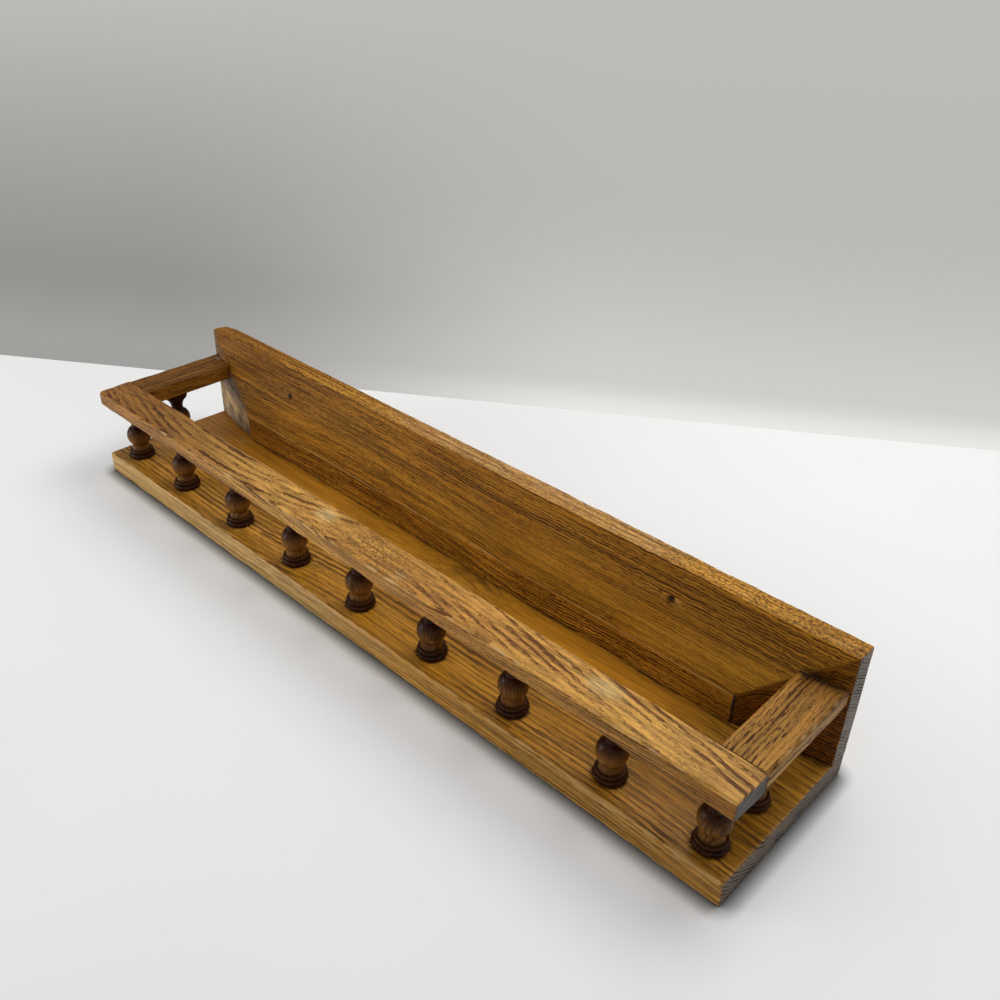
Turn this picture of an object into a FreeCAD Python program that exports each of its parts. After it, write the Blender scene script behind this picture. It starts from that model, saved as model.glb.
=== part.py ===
"""Oak wall shelf with a raised-panel back and a turned gallery rail. Millimetres, +Z up.

The frame's origin is under the middle of the shelf, on its underside. +X runs along the shelf
to the right, and +Y points back to the wall. The shelf lies flat from front to wall. The back
board stands on it, as thick below as a plank and bevelled away along its top and both ends like
a raised panel. Eleven turned spindles carry a front rail and two side rails, so that nothing
slides off. Two holes in the back take the screws that hang it on a wall.
"""
import FreeCAD, Part
import math
import os
import Sketcher

# name, value in mm (or a plain count), what it is
SIZES = [
    ("rack_length", 655, "left end to right end"),
    ("rack_depth", 136, "front edge to wall face"),
    ("eased_edge", 1.0, "radius worked on the long arrises"),
    # boards
    ("shelf_thickness", 18, "shelf board"),
    ("board_height", 85.5, "back board, from the shelf's top to its own"),
    ("board_edge", 16, "back board's thickness along its top and ends"),
    ("field_rise", 14, "how far the panel's field stands proud of that edge"),
    ("field_height", 23.5, "shelf's top to the field's upper arris"),
    ("field_inset", 65.5, "board's end to the field's end"),
    # rails
    ("rail_width", 30, "seen from above"),
    ("rail_thickness", 14, "seen from the front"),
    ("rail_setback", 1.5, "rail's end face behind the shelf's end"),
    ("rail_round", 3, "radius worked on the rails' outer arrises"),
    # spindles
    ("spindle_height", 47.6, "shelf's top to the rails' underside"),
    ("front_setback", 19, "shelf's front edge to the front row's axes"),
    ("left_margin", 23.5, "left end to the first axis of the front row"),
    ("right_margin", 21, "right end to the last axis of the front row"),
    ("left_side_margin", 18, "left end to the left side spindle's axis"),
    ("right_side_margin", 21.5, "right end to the right side spindle's axis"),
    ("side_setback", 62.5, "shelf's front edge to the side spindles' axes"),
    ("disc_radius", 11, "widest ring, at the foot and at the head"),
    ("disc_height", 4, "that ring"),
    ("bead_radius", 10.1, "second ring"),
    ("bead_height", 3, "second ring"),
    ("fillet_radius", 8, "narrow step over the second ring"),
    ("fillet_height", 1.3, "that step"),
    ("round_over", 0.7, "how far a ring's faces fall in from its waist"),
    ("ball_radius", 10.3, "the ball"),
    ("ball_height", 20.4, "shelf's top to the ball's centre"),
    ("lower_neck", 6.8, "radius where the ball meets its lower neck"),
    ("upper_neck", 5.2, "radius where the ball meets its upper neck"),
    ("cove_radius", 6, "hollow of the lower neck"),
    ("throat_radius", 13, "hollow of the upper neck"),
    ("tenon_radius", 4.5, "both tenons"),
    ("foot_tenon", 10, "length let into the shelf"),
    ("head_tenon", 8, "length let into the rail"),
    # glued fits
    ("glue_gap", 0.1, "round a tenon or a dowel, on the radius"),
    ("end_gap", 0.5, "left beyond a tenon's or a dowel's end"),
    ("dowel_radius", 3, "rail dowels"),
    ("dowel_length", 24, "rail dowels"),
    ("dowel_inset", 10, "end to a rail dowel's axis"),
    ("dowel_chamfer", 0.8, "at both ends of a dowel"),
    # screws up through the shelf into the back board
    ("screw_spacing", 160, "between neighbours"),
    ("screw_length", 50, "head face to point"),
    ("screw_radius", 2.25, "shank"),
    ("screw_point", 6, "length of the taper"),
    ("head_radius", 4.2, "countersunk head"),
    ("head_height", 2.6, "its cone"),
    ("head_sunk", 0.4, "head face above the shelf's underside"),
    ("screw_gap", 0.15, "round the shank and under the head, on the radius"),
    ("recess_width", 1.2, "an arm of the cross recess"),
    ("recess_length", 5, "across the cross recess"),
    ("recess_depth", 1.6, "the cross recess"),
    # wall screws, which come with the wall
    ("wall_hole_radius", 2.5, "holes in the back board"),
    ("wall_hole_spacing", 406.4, "one stud to the next"),
    ("wall_hole_height", 61.2, "above the shelf's top"),
]

# The front row was bored by eye: how far each axis strays from even spacing, left to right.
BORING_DRIFT = (0.0, -1.5, 2.0, 1.5, 2.0, 2.0, 1.5, 5.0, 0.0)
SIDES = ((-1, "left"), (1, "right"))
SHELF_SCREWS = 4
TOUCHING = 0.01  # nearer than this is the same place
ALONG = 0.99  # a unit direction with this much of an axis runs along it
FULL_TURN = 360  # degrees
CM3 = 1000  # cubic millimetres


class Size:
    """A length that keeps its value now beside the formula that ties it to the sheet."""

    def __init__(self, value, formula):
        self.value = float(value)
        self.formula = formula

    def __add__(self, other):
        other = tied(other)
        return Size(self.value + other.value, f"({self.formula} + {other.formula})")

    def __sub__(self, other):
        other = tied(other)
        return Size(self.value - other.value, f"({self.formula} - {other.formula})")

    def __mul__(self, other):
        other = tied(other)
        return Size(self.value * other.value, f"({self.formula} * {other.formula})")

    def __truediv__(self, other):
        other = tied(other)
        return Size(self.value / other.value, f"({self.formula} / {other.formula})")

    def __neg__(self):
        return Size(-self.value, f"(0 - {self.formula})")


def tied(number):
    """A plain number as a Size, and a Size as it is."""
    if isinstance(number, Size):
        return number
    return Size(number, repr(float(number)))


def root(length):
    """Square root of a Size."""
    return Size(math.sqrt(length.value), f"sqrt({length.formula})")


def fill_sheet(doc):
    """Write the driving dimensions into the sheet, one to a row, and give each its alias."""
    sheet = doc.addObject("Spreadsheet::Sheet", "Sizes")
    for row, (alias, value, meaning) in enumerate(SIZES, start=1):
        sheet.set(f"A{row}", meaning)
        sheet.set(f"B{row}", str(value))
        sheet.setAlias(f"B{row}", alias)
    doc.recompute()
    return {alias: Size(getattr(sheet, alias), f"Sizes.{alias}") for alias, _, _ in SIZES}


def origin_plane(body, role):
    """One of a body's own three base planes."""
    return next(item for item in body.Origin.OriginFeatures if item.Role == role)


def place(piece, x, y, z):
    """Put a piece where three Sizes say, and keep it there when they change."""
    for axis, offset in zip("xyz", (x, y, z)):
        piece.setExpression(f"Placement.Base.{axis}", tied(offset).formula)


def new_sketch(body, role, name, offset=None):
    """A sketch on one of the body's base planes, or moved off it along the plane's normal."""
    sketch = body.newObject("Sketcher::SketchObject", name)
    sketch.AttachmentSupport = [(origin_plane(body, role), "")]
    sketch.MapMode = "FlatFace"
    if offset is not None:
        sketch.setExpression("AttachmentOffset.Base.z", tied(offset).formula)
    return sketch


def bind(sketch, kind, *where):
    """Add one dimension to a sketch and tie it to its formula. Its last argument is the Size."""
    length = tied(where[-1])
    index = sketch.addConstraint(Sketcher.Constraint(kind, *where[:-1], length.value))
    sketch.setExpression(f"Constraints[{index}]", length.formula)


def pin_point(sketch, edge, end, x, y):
    """Fix one point of a sketch at x, y from the sketch's origin."""
    origin = (-1, 1)
    vertical_axis = -2
    horizontal_axis = -1
    for kind, axis, reach in (("DistanceX", vertical_axis, x), ("DistanceY", horizontal_axis, y)):
        if isinstance(reach, Size):
            bind(sketch, kind, *origin, edge, end, reach)
        else:
            sketch.addConstraint(Sketcher.Constraint("PointOnObject", edge, end, axis))


def draw_circle(sketch, x, y, radius):
    """A circle with its centre and radius tied to their Sizes."""
    centre = FreeCAD.Vector(tied(x).value, tied(y).value, 0)
    normal = FreeCAD.Vector(0, 0, 1)
    edge = sketch.addGeometry(Part.Circle(centre, normal, radius.value))
    centre_point = 3
    pin_point(sketch, edge, centre_point, x, y)
    bind(sketch, "Radius", edge, radius)


def draw_outline(sketch, corners):
    """A closed outline through corners (x, y, bend).

    bend is the radius of the arc to the next corner, or None for a straight line. A positive
    radius bends the arc out to the right of its chord, a negative one to the left. A zero is
    written as the plain number 0 and lies on the axis.
    """
    points = [FreeCAD.Vector(tied(x).value, tied(y).value, 0) for x, y, _ in corners]
    edges = []
    for index, (_, _, bend) in enumerate(corners):
        start = points[index]
        end = points[(index + 1) % len(points)]
        if bend is None:
            edges.append(sketch.addGeometry(Part.LineSegment(start, end)))
            continue
        chord = end - start
        half = chord.Length / 2
        reach = abs(bend.value)
        bulge = reach - math.sqrt(reach * reach - half * half)
        side = math.copysign(1, bend.value)
        outward = FreeCAD.Vector(chord.y, -chord.x, 0).normalize() * side
        middle = (start + end) / 2 + outward * bulge
        edges.append(sketch.addGeometry(Part.Arc(start, middle, end)))
    ends = [arc_ends(sketch, edge, points[index]) for index, edge in enumerate(edges)]
    for index, edge in enumerate(edges):
        following = (index + 1) % len(edges)
        link = Sketcher.Constraint("Coincident", edge, ends[index][1], edges[following],
                                   ends[following][0])
        sketch.addConstraint(link)
    for index, (x, y, bend) in enumerate(corners):
        pin_point(sketch, edges[index], ends[index][0], x, y)
        if bend is not None:
            radius = bend if bend.value > 0 else -bend
            bind(sketch, "Radius", edges[index], radius)


def arc_ends(sketch, edge, start):
    """Which of an edge's two end numbers is its start. An arc's may be swapped."""
    first = sketch.getPoint(edge, 1)
    if first.distanceToPoint(start) < TOUCHING:
        return 1, 2
    return 2, 1


def pad(body, sketch, length, name):
    """Raise a sketch into a solid along its normal."""
    feature = body.newObject("PartDesign::Pad", name)
    feature.Profile = sketch
    feature.setExpression("Length", tied(length).formula)
    body.Tip = feature
    return feature


def pocket(body, sketch, name, depth=None, flipped=False, both_ways=False):
    """Cut a sketch into the body: depth deep, or right through where depth is None."""
    feature = body.newObject("PartDesign::Pocket", name)
    feature.Profile = sketch
    feature.Reversed = flipped
    if both_ways:
        feature.Midplane = True
    if depth is None:
        feature.Type = "ThroughAll"
    else:
        feature.setExpression("Length", tied(depth).formula)
    body.Tip = feature
    return feature


def revolve(body, sketch, name):
    """Turn a sketch in the XZ plane round the Z axis."""
    feature = body.newObject("PartDesign::Revolution", name)
    feature.Profile = sketch
    feature.ReferenceAxis = (sketch, ["V_Axis"])
    feature.Angle = FULL_TURN
    body.Tip = feature
    return feature


def ease(body, feature, radius, wanted, name):
    """Round the feature's edges that the test picks by their middle point and direction."""
    picked = []
    for index, edge in enumerate(feature.Shape.Edges, start=1):
        run = edge.Vertexes[-1].Point - edge.Vertexes[0].Point
        if run.Length > 0 and wanted(edge.CenterOfMass, run.normalize()):
            picked.append(f"Edge{index}")
    fillet = body.newObject("PartDesign::Fillet", name)
    fillet.Base = (feature, picked)
    fillet.setExpression("Radius", tied(radius).formula)
    body.Tip = fillet
    return fillet


def new_body(doc, name):
    """An empty body whose label names its file."""
    body = doc.addObject("PartDesign::Body", name)
    body.Label = name
    return body


def front_row(size):
    """X of each spindle axis in the front row, left to right."""
    gaps = len(BORING_DRIFT) - 1
    pitch = (size["rack_length"] - size["left_margin"] - size["right_margin"]) / gaps
    first = size["left_margin"] - size["rack_length"] / 2
    return [first + pitch * index + drift for index, drift in enumerate(BORING_DRIFT)]


def side_axis(size, side, side_name):
    """X of a side spindle's axis."""
    return (size["rack_length"] / 2 - size[f"{side_name}_side_margin"]) * side


def screw_row(size):
    """X of each shelf screw."""
    middle = (SHELF_SCREWS - 1) / 2
    return [size["screw_spacing"] * (index - middle) for index in range(SHELF_SCREWS)]


def screw_line(size):
    """Y of the shelf screws: the middle of the back board's foot."""
    return size["rack_depth"] / 2 - (size["board_edge"] + size["field_rise"]) / 2


def rail_underside(size):
    """Height of the rails' lower faces."""
    return size["shelf_thickness"] + size["spindle_height"]


def dowel_x(size):
    """Distance of the rail dowels' axes from the middle."""
    return size["rack_length"] / 2 - size["dowel_inset"]


def dowel_level(size):
    """Height of the rail dowels' axes."""
    return rail_underside(size) + size["rail_thickness"] / 2


def back_joint(size):
    """Y where a dowel's axis meets the bevel on the back board's end."""
    bevel_drop = size["field_rise"] * size["dowel_inset"] / size["field_inset"]
    return size["rack_depth"] / 2 - size["board_edge"] - bevel_drop


def front_joint(size):
    """Y of the butt joint behind the front rail."""
    return size["rail_width"] - size["rack_depth"] / 2


def make_back_board(doc, size):
    """Raised panel: a plank whose top and ends are bevelled away from the field."""
    body = new_body(doc, "back_board")
    half = size["rack_length"] / 2
    thickness = size["board_edge"] + size["field_rise"]
    foot = new_sketch(body, "XY_Plane", "board_foot")
    draw_outline(foot, [(-half, 0, None), (-half, -thickness, None),
                        (half, -thickness, None), (half, 0, None)])
    pad(body, foot, size["board_height"], "plank")

    top = new_sketch(body, "YZ_Plane", "top_bevel_section")
    proud = size["board_height"] + size["field_rise"]
    draw_outline(top, [(-thickness, size["field_height"], None),
                       (-size["board_edge"], size["board_height"], None),
                       (-size["board_edge"], proud, None),
                       (-(thickness + size["field_rise"]), proud, None),
                       (-(thickness + size["field_rise"]), size["field_height"], None)])
    pocket(body, top, "top_bevel", both_ways=True)

    outside = half + size["field_rise"]
    for side, name in SIDES:
        section = new_sketch(body, "XY_Plane", f"{name}_bevel_section")
        draw_outline(section, [((half - size["field_inset"]) * side, -thickness, None),
                               (half * side, -size["board_edge"], None),
                               (outside * side, -size["board_edge"], None),
                               (outside * side, -(thickness + size["field_rise"]), None),
                               ((half - size["field_inset"]) * side,
                                -(thickness + size["field_rise"]), None)])
        bevel = pocket(body, section, f"{name}_bevel", both_ways=True)
    doc.recompute()

    crown = size["board_height"].value
    ease(body, bevel, size["eased_edge"],
         lambda middle, run: abs(middle.z - crown) < TOUCHING, "eased_crown")

    wall_holes = new_sketch(body, "XZ_Plane", "wall_hole_centres")
    for side in (-1, 1):
        draw_circle(wall_holes, size["wall_hole_spacing"] / 2 * side, size["wall_hole_height"],
                    size["wall_hole_radius"])
    pocket(body, wall_holes, "wall_holes", both_ways=True)

    pilots = new_sketch(body, "XY_Plane", "pilot_centres")
    for x in screw_row(size):
        draw_circle(pilots, x, -thickness / 2, size["screw_radius"] + size["screw_gap"])
    grip = size["screw_length"] + size["head_sunk"] - size["shelf_thickness"] + size["end_gap"]
    pocket(body, pilots, "pilot_holes", depth=grip, flipped=True)

    rear = size["rack_depth"] / 2
    floor = back_joint(size) + size["dowel_length"] / 2 + size["end_gap"] - rear
    dowels = new_sketch(body, "XZ_Plane", "dowel_centres", offset=-floor)
    for side in (-1, 1):
        draw_circle(dowels, dowel_x(size) * side, dowel_level(size) - size["shelf_thickness"],
                    size["dowel_radius"] + size["glue_gap"])
    pocket(body, dowels, "dowel_holes", flipped=True)
    place(body, 0, rear, size["shelf_thickness"])
    return body


def make_shelf_board(doc, size):
    """Flat board under everything, with mortises above and countersunk holes below."""
    body = new_body(doc, "shelf_board")
    half = size["rack_length"] / 2
    reach = size["rack_depth"] / 2
    plan = new_sketch(body, "XY_Plane", "shelf_plan")
    draw_outline(plan, [(-half, reach, None), (-half, -reach, None),
                        (half, -reach, None), (half, reach, None)])
    plank = pad(body, plan, size["shelf_thickness"], "plank")
    doc.recompute()
    front = -reach.value
    ease(body, plank, size["eased_edge"],
         lambda middle, run: abs(middle.y - front) < TOUCHING and abs(run.x) > ALONG,
         "eased_front")

    mortise_radius = size["tenon_radius"] + size["glue_gap"]
    mortises = new_sketch(body, "XY_Plane", "mortise_centres", offset=size["shelf_thickness"])
    for x in front_row(size):
        draw_circle(mortises, x, size["front_setback"] - reach, mortise_radius)
    for side, side_name in SIDES:
        draw_circle(mortises, side_axis(size, side, side_name), size["side_setback"] - reach,
                    mortise_radius)
    pocket(body, mortises, "mortises", depth=size["foot_tenon"] + size["end_gap"])

    shanks = new_sketch(body, "XY_Plane", "shank_centres")
    for x in screw_row(size):
        draw_circle(shanks, x, screw_line(size), size["screw_radius"] + size["screw_gap"])
    pocket(body, shanks, "shank_holes", both_ways=True)

    for index, x in enumerate(screw_row(size), start=1):
        mouth = new_sketch(body, "XY_Plane", f"mouth_{index}_centre")
        draw_circle(mouth, x, screw_line(size), size["head_radius"] + size["screw_gap"])
        pocket(body, mouth, f"mouth_{index}", depth=size["head_sunk"], flipped=True)
        sink = body.newObject("PartDesign::SubtractiveCone", f"countersink_{index}")
        sink.setExpression("Radius1", (size["head_radius"] + size["screw_gap"]).formula)
        sink.setExpression("Radius2", (size["screw_radius"] + size["screw_gap"]).formula)
        sink.setExpression("Height", size["head_height"].formula)
        place(sink, x, screw_line(size), size["head_sunk"])
        body.Tip = sink
    return body


def make_front_rail(doc, size):
    """Long rail over the front row, flush with the shelf's front edge."""
    body = new_body(doc, "front_rail")
    half = size["rack_length"] / 2 - size["rail_setback"]
    plan = new_sketch(body, "XY_Plane", "front_rail_plan")
    draw_outline(plan, [(-half, size["rail_width"], None), (-half, 0, None),
                        (half, 0, None), (half, size["rail_width"], None)])
    bar = pad(body, plan, size["rail_thickness"], "bar")
    doc.recompute()
    rounded = ease(body, bar, size["rail_round"],
                   lambda middle, run: abs(run.x) > ALONG and middle.y < TOUCHING,
                   "rounded_front")
    doc.recompute()
    rear = size["rail_width"].value
    ease(body, rounded, size["eased_edge"],
         lambda middle, run: abs(run.x) > ALONG and middle.y > rear - TOUCHING, "eased_rear")

    mortises = new_sketch(body, "XY_Plane", "rail_mortise_centres")
    for x in front_row(size):
        draw_circle(mortises, x, size["front_setback"], size["tenon_radius"] + size["glue_gap"])
    pocket(body, mortises, "rail_mortises", depth=size["head_tenon"] + size["end_gap"],
           flipped=True)

    depth = size["dowel_length"] / 2 + size["end_gap"]
    dowels = new_sketch(body, "XZ_Plane", "rail_dowel_centres", offset=depth - size["rail_width"])
    for side in (-1, 1):
        draw_circle(dowels, dowel_x(size) * side, size["rail_thickness"] / 2,
                    size["dowel_radius"] + size["glue_gap"])
    pocket(body, dowels, "rail_dowel_holes")
    place(body, 0, -size["rack_depth"] / 2, rail_underside(size))
    return body


def make_side_rail(doc, size, side, side_name, back_board):
    """Short rail from the front rail back to the bevel on the back board's end."""
    name = f"{side_name}_side_rail"
    body = new_body(doc, f"{name}_blank")
    half = size["rail_width"] / 2
    length = size["rack_depth"] - size["rail_width"] - size["board_edge"]
    plan = new_sketch(body, "XY_Plane", f"{name}_plan")
    draw_outline(plan, [(-half, length, None), (-half, 0, None),
                        (half, 0, None), (half, length, None)])
    bar = pad(body, plan, size["rail_thickness"], "bar")
    doc.recompute()
    outer = half.value - TOUCHING
    rounded = ease(body, bar, size["rail_round"],
                   lambda middle, run: abs(run.y) > ALONG and middle.x * side > outer,
                   "rounded_outside")
    doc.recompute()
    ease(body, rounded, size["eased_edge"],
         lambda middle, run: abs(run.y) > ALONG and middle.x * side < -outer, "eased_inside")

    middle_inset = size["rail_setback"] + half
    middle = (size["rack_length"] / 2 - middle_inset) * side
    mortise = new_sketch(body, "XY_Plane", f"{name}_mortise_centre")
    draw_circle(mortise, side_axis(size, side, side_name) - middle,
                size["side_setback"] - size["rail_width"], size["tenon_radius"] + size["glue_gap"])
    pocket(body, mortise, "mortise", depth=size["head_tenon"] + size["end_gap"], flipped=True)

    hole = size["dowel_radius"] + size["glue_gap"]
    depth = size["dowel_length"] / 2 + size["end_gap"]
    across = (middle_inset - size["dowel_inset"]) * side
    rear_floor = back_joint(size) - depth - front_joint(size)
    for end, floor, flipped in (("front", depth, True), ("rear", rear_floor, False)):
        centre = new_sketch(body, "XZ_Plane", f"{name}_{end}_dowel_centre", offset=-floor)
        draw_circle(centre, across, size["rail_thickness"] / 2, hole)
        pocket(body, centre, f"{end}_dowel_hole", flipped=flipped)
    place(body, middle, front_joint(size), rail_underside(size))

    rail = doc.addObject("Part::Cut", name)
    rail.Base = body
    rail.Tool = back_board
    rail.Label = name
    return rail


def ring_group(size, sign, level):
    """Corners of a foot's rings, from its seat inwards. sign is 1 at the foot, -1 at the head."""
    disc = size["disc_radius"] - size["round_over"]
    bead = size["bead_radius"] - size["round_over"]
    disc_top = level + size["disc_height"] * sign
    bead_top = disc_top + size["bead_height"] * sign
    fillet_top = bead_top + size["fillet_height"] * sign
    return [(disc, level, arc_radius(size["disc_height"], size["round_over"])),
            (disc, disc_top, None),
            (bead, disc_top, arc_radius(size["bead_height"], size["round_over"])),
            (bead, bead_top, None),
            (size["fillet_radius"], bead_top, None),
            (size["fillet_radius"], fillet_top, None)]


def arc_radius(chord, rise):
    """Radius of an arc from its chord and how far it stands off the chord's middle."""
    return (chord * chord / 4 + rise * rise) / (rise * 2)


def turned_outline(size):
    """Half section of a spindle, from the foot tenon's end up to the head tenon's."""
    height = size["spindle_height"]
    tenon = size["tenon_radius"]
    ball = size["ball_radius"]
    low = size["ball_height"] - root(ball * ball - size["lower_neck"] * size["lower_neck"])
    high = size["ball_height"] + root(ball * ball - size["upper_neck"] * size["upper_neck"])
    foot = ring_group(size, 1, tied(0))
    foot[0] = (foot[0][0], 0, foot[0][2])
    foot[-1] = (foot[-1][0], foot[-1][1], -size["cove_radius"])
    head = ring_group(size, -1, height)
    # read from the head down, so it is turned over, and each bend moves to its arc's lower end
    corners = [corner[:2] for corner in head][::-1]
    bends = [bend for _, _, bend in head][-2::-1] + [None]
    head = [(x, y, bend) for (x, y), bend in zip(corners, bends)]
    return ([(0, -size["foot_tenon"], None), (tenon, -size["foot_tenon"], None),
             (tenon, 0, None)]
            + foot
            + [(size["lower_neck"], low, ball), (size["upper_neck"], high, -size["throat_radius"])]
            + head
            + [(tenon, height, None), (tenon, height + size["head_tenon"], None),
               (0, height + size["head_tenon"], None)])


def make_spindle(doc, size, name, x, y):
    """Turned spindle: rings, a ball on a short neck, a slim throat and rings, and two tenons."""
    body = new_body(doc, name)
    half_section = new_sketch(body, "XZ_Plane", f"{name}_half_section")
    draw_outline(half_section, turned_outline(size))
    revolve(body, half_section, "turning")
    place(body, x, y, size["shelf_thickness"])
    return body


def make_dowels(doc, size):
    """Four plain dowels: front rail to side rails, and side rails to the back board."""
    radius = size["dowel_radius"]
    chamfer = size["dowel_chamfer"]
    half = size["dowel_length"] / 2
    pins = []
    for side, side_name in SIDES:
        for end_name, y in (("front", front_joint(size)), ("rear", back_joint(size))):
            pin = new_body(doc, f"dowel_{side_name}_{end_name}")
            section = new_sketch(pin, "XY_Plane", f"dowel_{side_name}_{end_name}_half_section")
            draw_outline(section, [(0, -half, None), (radius - chamfer, -half, None),
                                   (radius, chamfer - half, None), (radius, half - chamfer, None),
                                   (radius - chamfer, half, None), (0, half, None)])
            revolve(pin, section, "turning")
            place(pin, dowel_x(size) * side, y, dowel_level(size))
            pins.append(pin)
    group = doc.addObject("Part::Compound", "rail_dowels")
    group.Links = pins
    group.Label = "rail_dowels"
    return group


def make_shelf_screws(doc, size):
    """Countersunk wood screws, point up, with a cross recess in each head."""
    head = size["head_radius"]
    shank = size["screw_radius"]
    length = size["screw_length"]
    arm = size["recess_width"] / 2
    reach = size["recess_length"] / 2
    screws = []
    for index, x in enumerate(screw_row(size), start=1):
        screw = new_body(doc, f"screw_{index}")
        section = new_sketch(screw, "XZ_Plane", f"screw_{index}_half_section")
        draw_outline(section, [(0, 0, None), (head, 0, None), (shank, size["head_height"], None),
                               (shank, length - size["screw_point"], None), (0, length, None)])
        revolve(screw, section, "turning")
        cross = new_sketch(screw, "XY_Plane", f"screw_{index}_cross")
        draw_outline(cross, [(-reach, -arm, None), (-arm, -arm, None), (-arm, -reach, None),
                             (arm, -reach, None), (arm, -arm, None), (reach, -arm, None),
                             (reach, arm, None), (arm, arm, None), (arm, reach, None),
                             (-arm, reach, None), (-arm, arm, None), (-reach, arm, None)])
        pocket(screw, cross, "cross_recess", depth=size["recess_depth"], flipped=True)
        place(screw, x, screw_line(size), size["head_sunk"])
        screws.append(screw)
    group = doc.addObject("Part::Compound", "shelf_screws")
    group.Links = screws
    group.Label = "shelf_screws"
    return group


def check(doc, pieces):
    """Stop on any object that failed, and on any piece that isn't a sound solid."""
    for item in doc.Objects:
        if "Invalid" in item.State or "Error" in item.State:
            raise RuntimeError(f"{item.Name} failed: {item.State}")
    for piece in pieces:
        shape = piece.Shape
        if shape.isNull() or not shape.isValid() or not shape.Solids:
            raise RuntimeError(f"{piece.Label} is not a sound solid")
        print(f"{piece.Label}: {len(shape.Solids)} solid(s), {shape.Volume / CM3:.2f} cm3")


def main():
    doc = FreeCAD.newDocument("wall_plate_rack")
    size = fill_sheet(doc)
    back_board = make_back_board(doc, size)
    pieces = [back_board, make_shelf_board(doc, size), make_front_rail(doc, size)]
    pieces += [make_side_rail(doc, size, side, side_name, back_board)
               for side, side_name in SIDES]

    reach = size["rack_depth"] / 2
    for number, x in enumerate(front_row(size), start=1):
        pieces.append(make_spindle(doc, size, f"spindle_front_{number}", x,
                                   size["front_setback"] - reach))
    for side, side_name in SIDES:
        pieces.append(make_spindle(doc, size, f"spindle_{side_name}_side",
                                   side_axis(size, side, side_name),
                                   size["side_setback"] - reach))
    pieces += [make_dowels(doc, size), make_shelf_screws(doc, size)]
    doc.recompute()
    check(doc, pieces)

    os.makedirs("parts", exist_ok=True)
    for piece in pieces:
        piece.Shape.exportStep(os.path.join("parts", f"{piece.Label}.step"))


main()
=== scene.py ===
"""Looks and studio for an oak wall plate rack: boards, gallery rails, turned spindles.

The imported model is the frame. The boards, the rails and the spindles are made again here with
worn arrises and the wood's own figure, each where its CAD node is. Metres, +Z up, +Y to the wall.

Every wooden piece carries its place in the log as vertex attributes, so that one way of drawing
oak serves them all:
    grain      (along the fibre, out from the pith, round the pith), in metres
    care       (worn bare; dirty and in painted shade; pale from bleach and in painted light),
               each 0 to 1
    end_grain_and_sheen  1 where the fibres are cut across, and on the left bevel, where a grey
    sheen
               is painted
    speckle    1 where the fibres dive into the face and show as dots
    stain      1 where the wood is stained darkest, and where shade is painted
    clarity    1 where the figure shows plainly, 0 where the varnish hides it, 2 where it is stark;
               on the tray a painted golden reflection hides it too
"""
import logging
from dataclasses import dataclass, field
from enum import Enum

import bpy
import numpy as np
from mathutils import Matrix, Vector


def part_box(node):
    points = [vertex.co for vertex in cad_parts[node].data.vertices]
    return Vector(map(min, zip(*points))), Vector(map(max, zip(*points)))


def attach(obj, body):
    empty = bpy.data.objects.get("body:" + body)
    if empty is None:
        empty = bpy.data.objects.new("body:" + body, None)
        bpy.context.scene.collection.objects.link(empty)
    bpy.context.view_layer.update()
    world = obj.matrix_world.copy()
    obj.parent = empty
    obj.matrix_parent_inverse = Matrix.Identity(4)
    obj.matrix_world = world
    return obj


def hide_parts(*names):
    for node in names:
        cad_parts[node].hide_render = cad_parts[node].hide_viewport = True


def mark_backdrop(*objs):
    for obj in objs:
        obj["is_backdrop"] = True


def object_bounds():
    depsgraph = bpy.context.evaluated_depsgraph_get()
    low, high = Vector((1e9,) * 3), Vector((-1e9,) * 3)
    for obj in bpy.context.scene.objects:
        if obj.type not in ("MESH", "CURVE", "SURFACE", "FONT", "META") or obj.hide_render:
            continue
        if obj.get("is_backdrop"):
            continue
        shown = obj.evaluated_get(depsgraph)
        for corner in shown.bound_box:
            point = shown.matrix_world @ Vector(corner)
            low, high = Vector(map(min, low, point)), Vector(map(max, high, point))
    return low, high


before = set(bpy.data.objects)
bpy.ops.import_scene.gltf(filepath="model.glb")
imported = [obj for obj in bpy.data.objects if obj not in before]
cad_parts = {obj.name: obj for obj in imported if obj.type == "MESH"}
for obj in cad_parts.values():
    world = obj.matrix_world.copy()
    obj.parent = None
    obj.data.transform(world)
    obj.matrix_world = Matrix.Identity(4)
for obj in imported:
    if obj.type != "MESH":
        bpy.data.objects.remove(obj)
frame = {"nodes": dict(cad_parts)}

Array = np.ndarray
Socket = bpy.types.NodeSocket
Object = bpy.types.Object
Material = bpy.types.Material
Node = bpy.types.Node
Pair = tuple[float, float]
Triple = tuple[float, float, float]
Colour = tuple[float, float, float, float]
Shell = tuple[Array, list[Array]]  # points, and faces as rows of point numbers
Mark = tuple[float, Triple, Triple]  # strength, and centre and reach in millimetres
MM = 0.001
LOG = logging.getLogger("plate_rack")
PICTURE = 1000  # pixels along each side of the picture
SENSOR = 36.0  # millimetres
CRISP = np.radians(38)  # faces that meet at more than this angle show an edge
WHITE = (1.0, 1.0, 1.0, 1.0)
DISPLAY_GAMMA = 2.2  # turns a tone as seen on a screen into light


class Slot(Enum):
    """Names of the record's material slots for the pieces made here."""

    BOARD = "board_oak"
    RAIL = "rail_oak"
    TURNED = "turned_wood"


class Bore(Enum):
    """The way that a hole runs."""

    FRONT_TO_BACK = "front to back"
    UPRIGHT = "upright"


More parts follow.
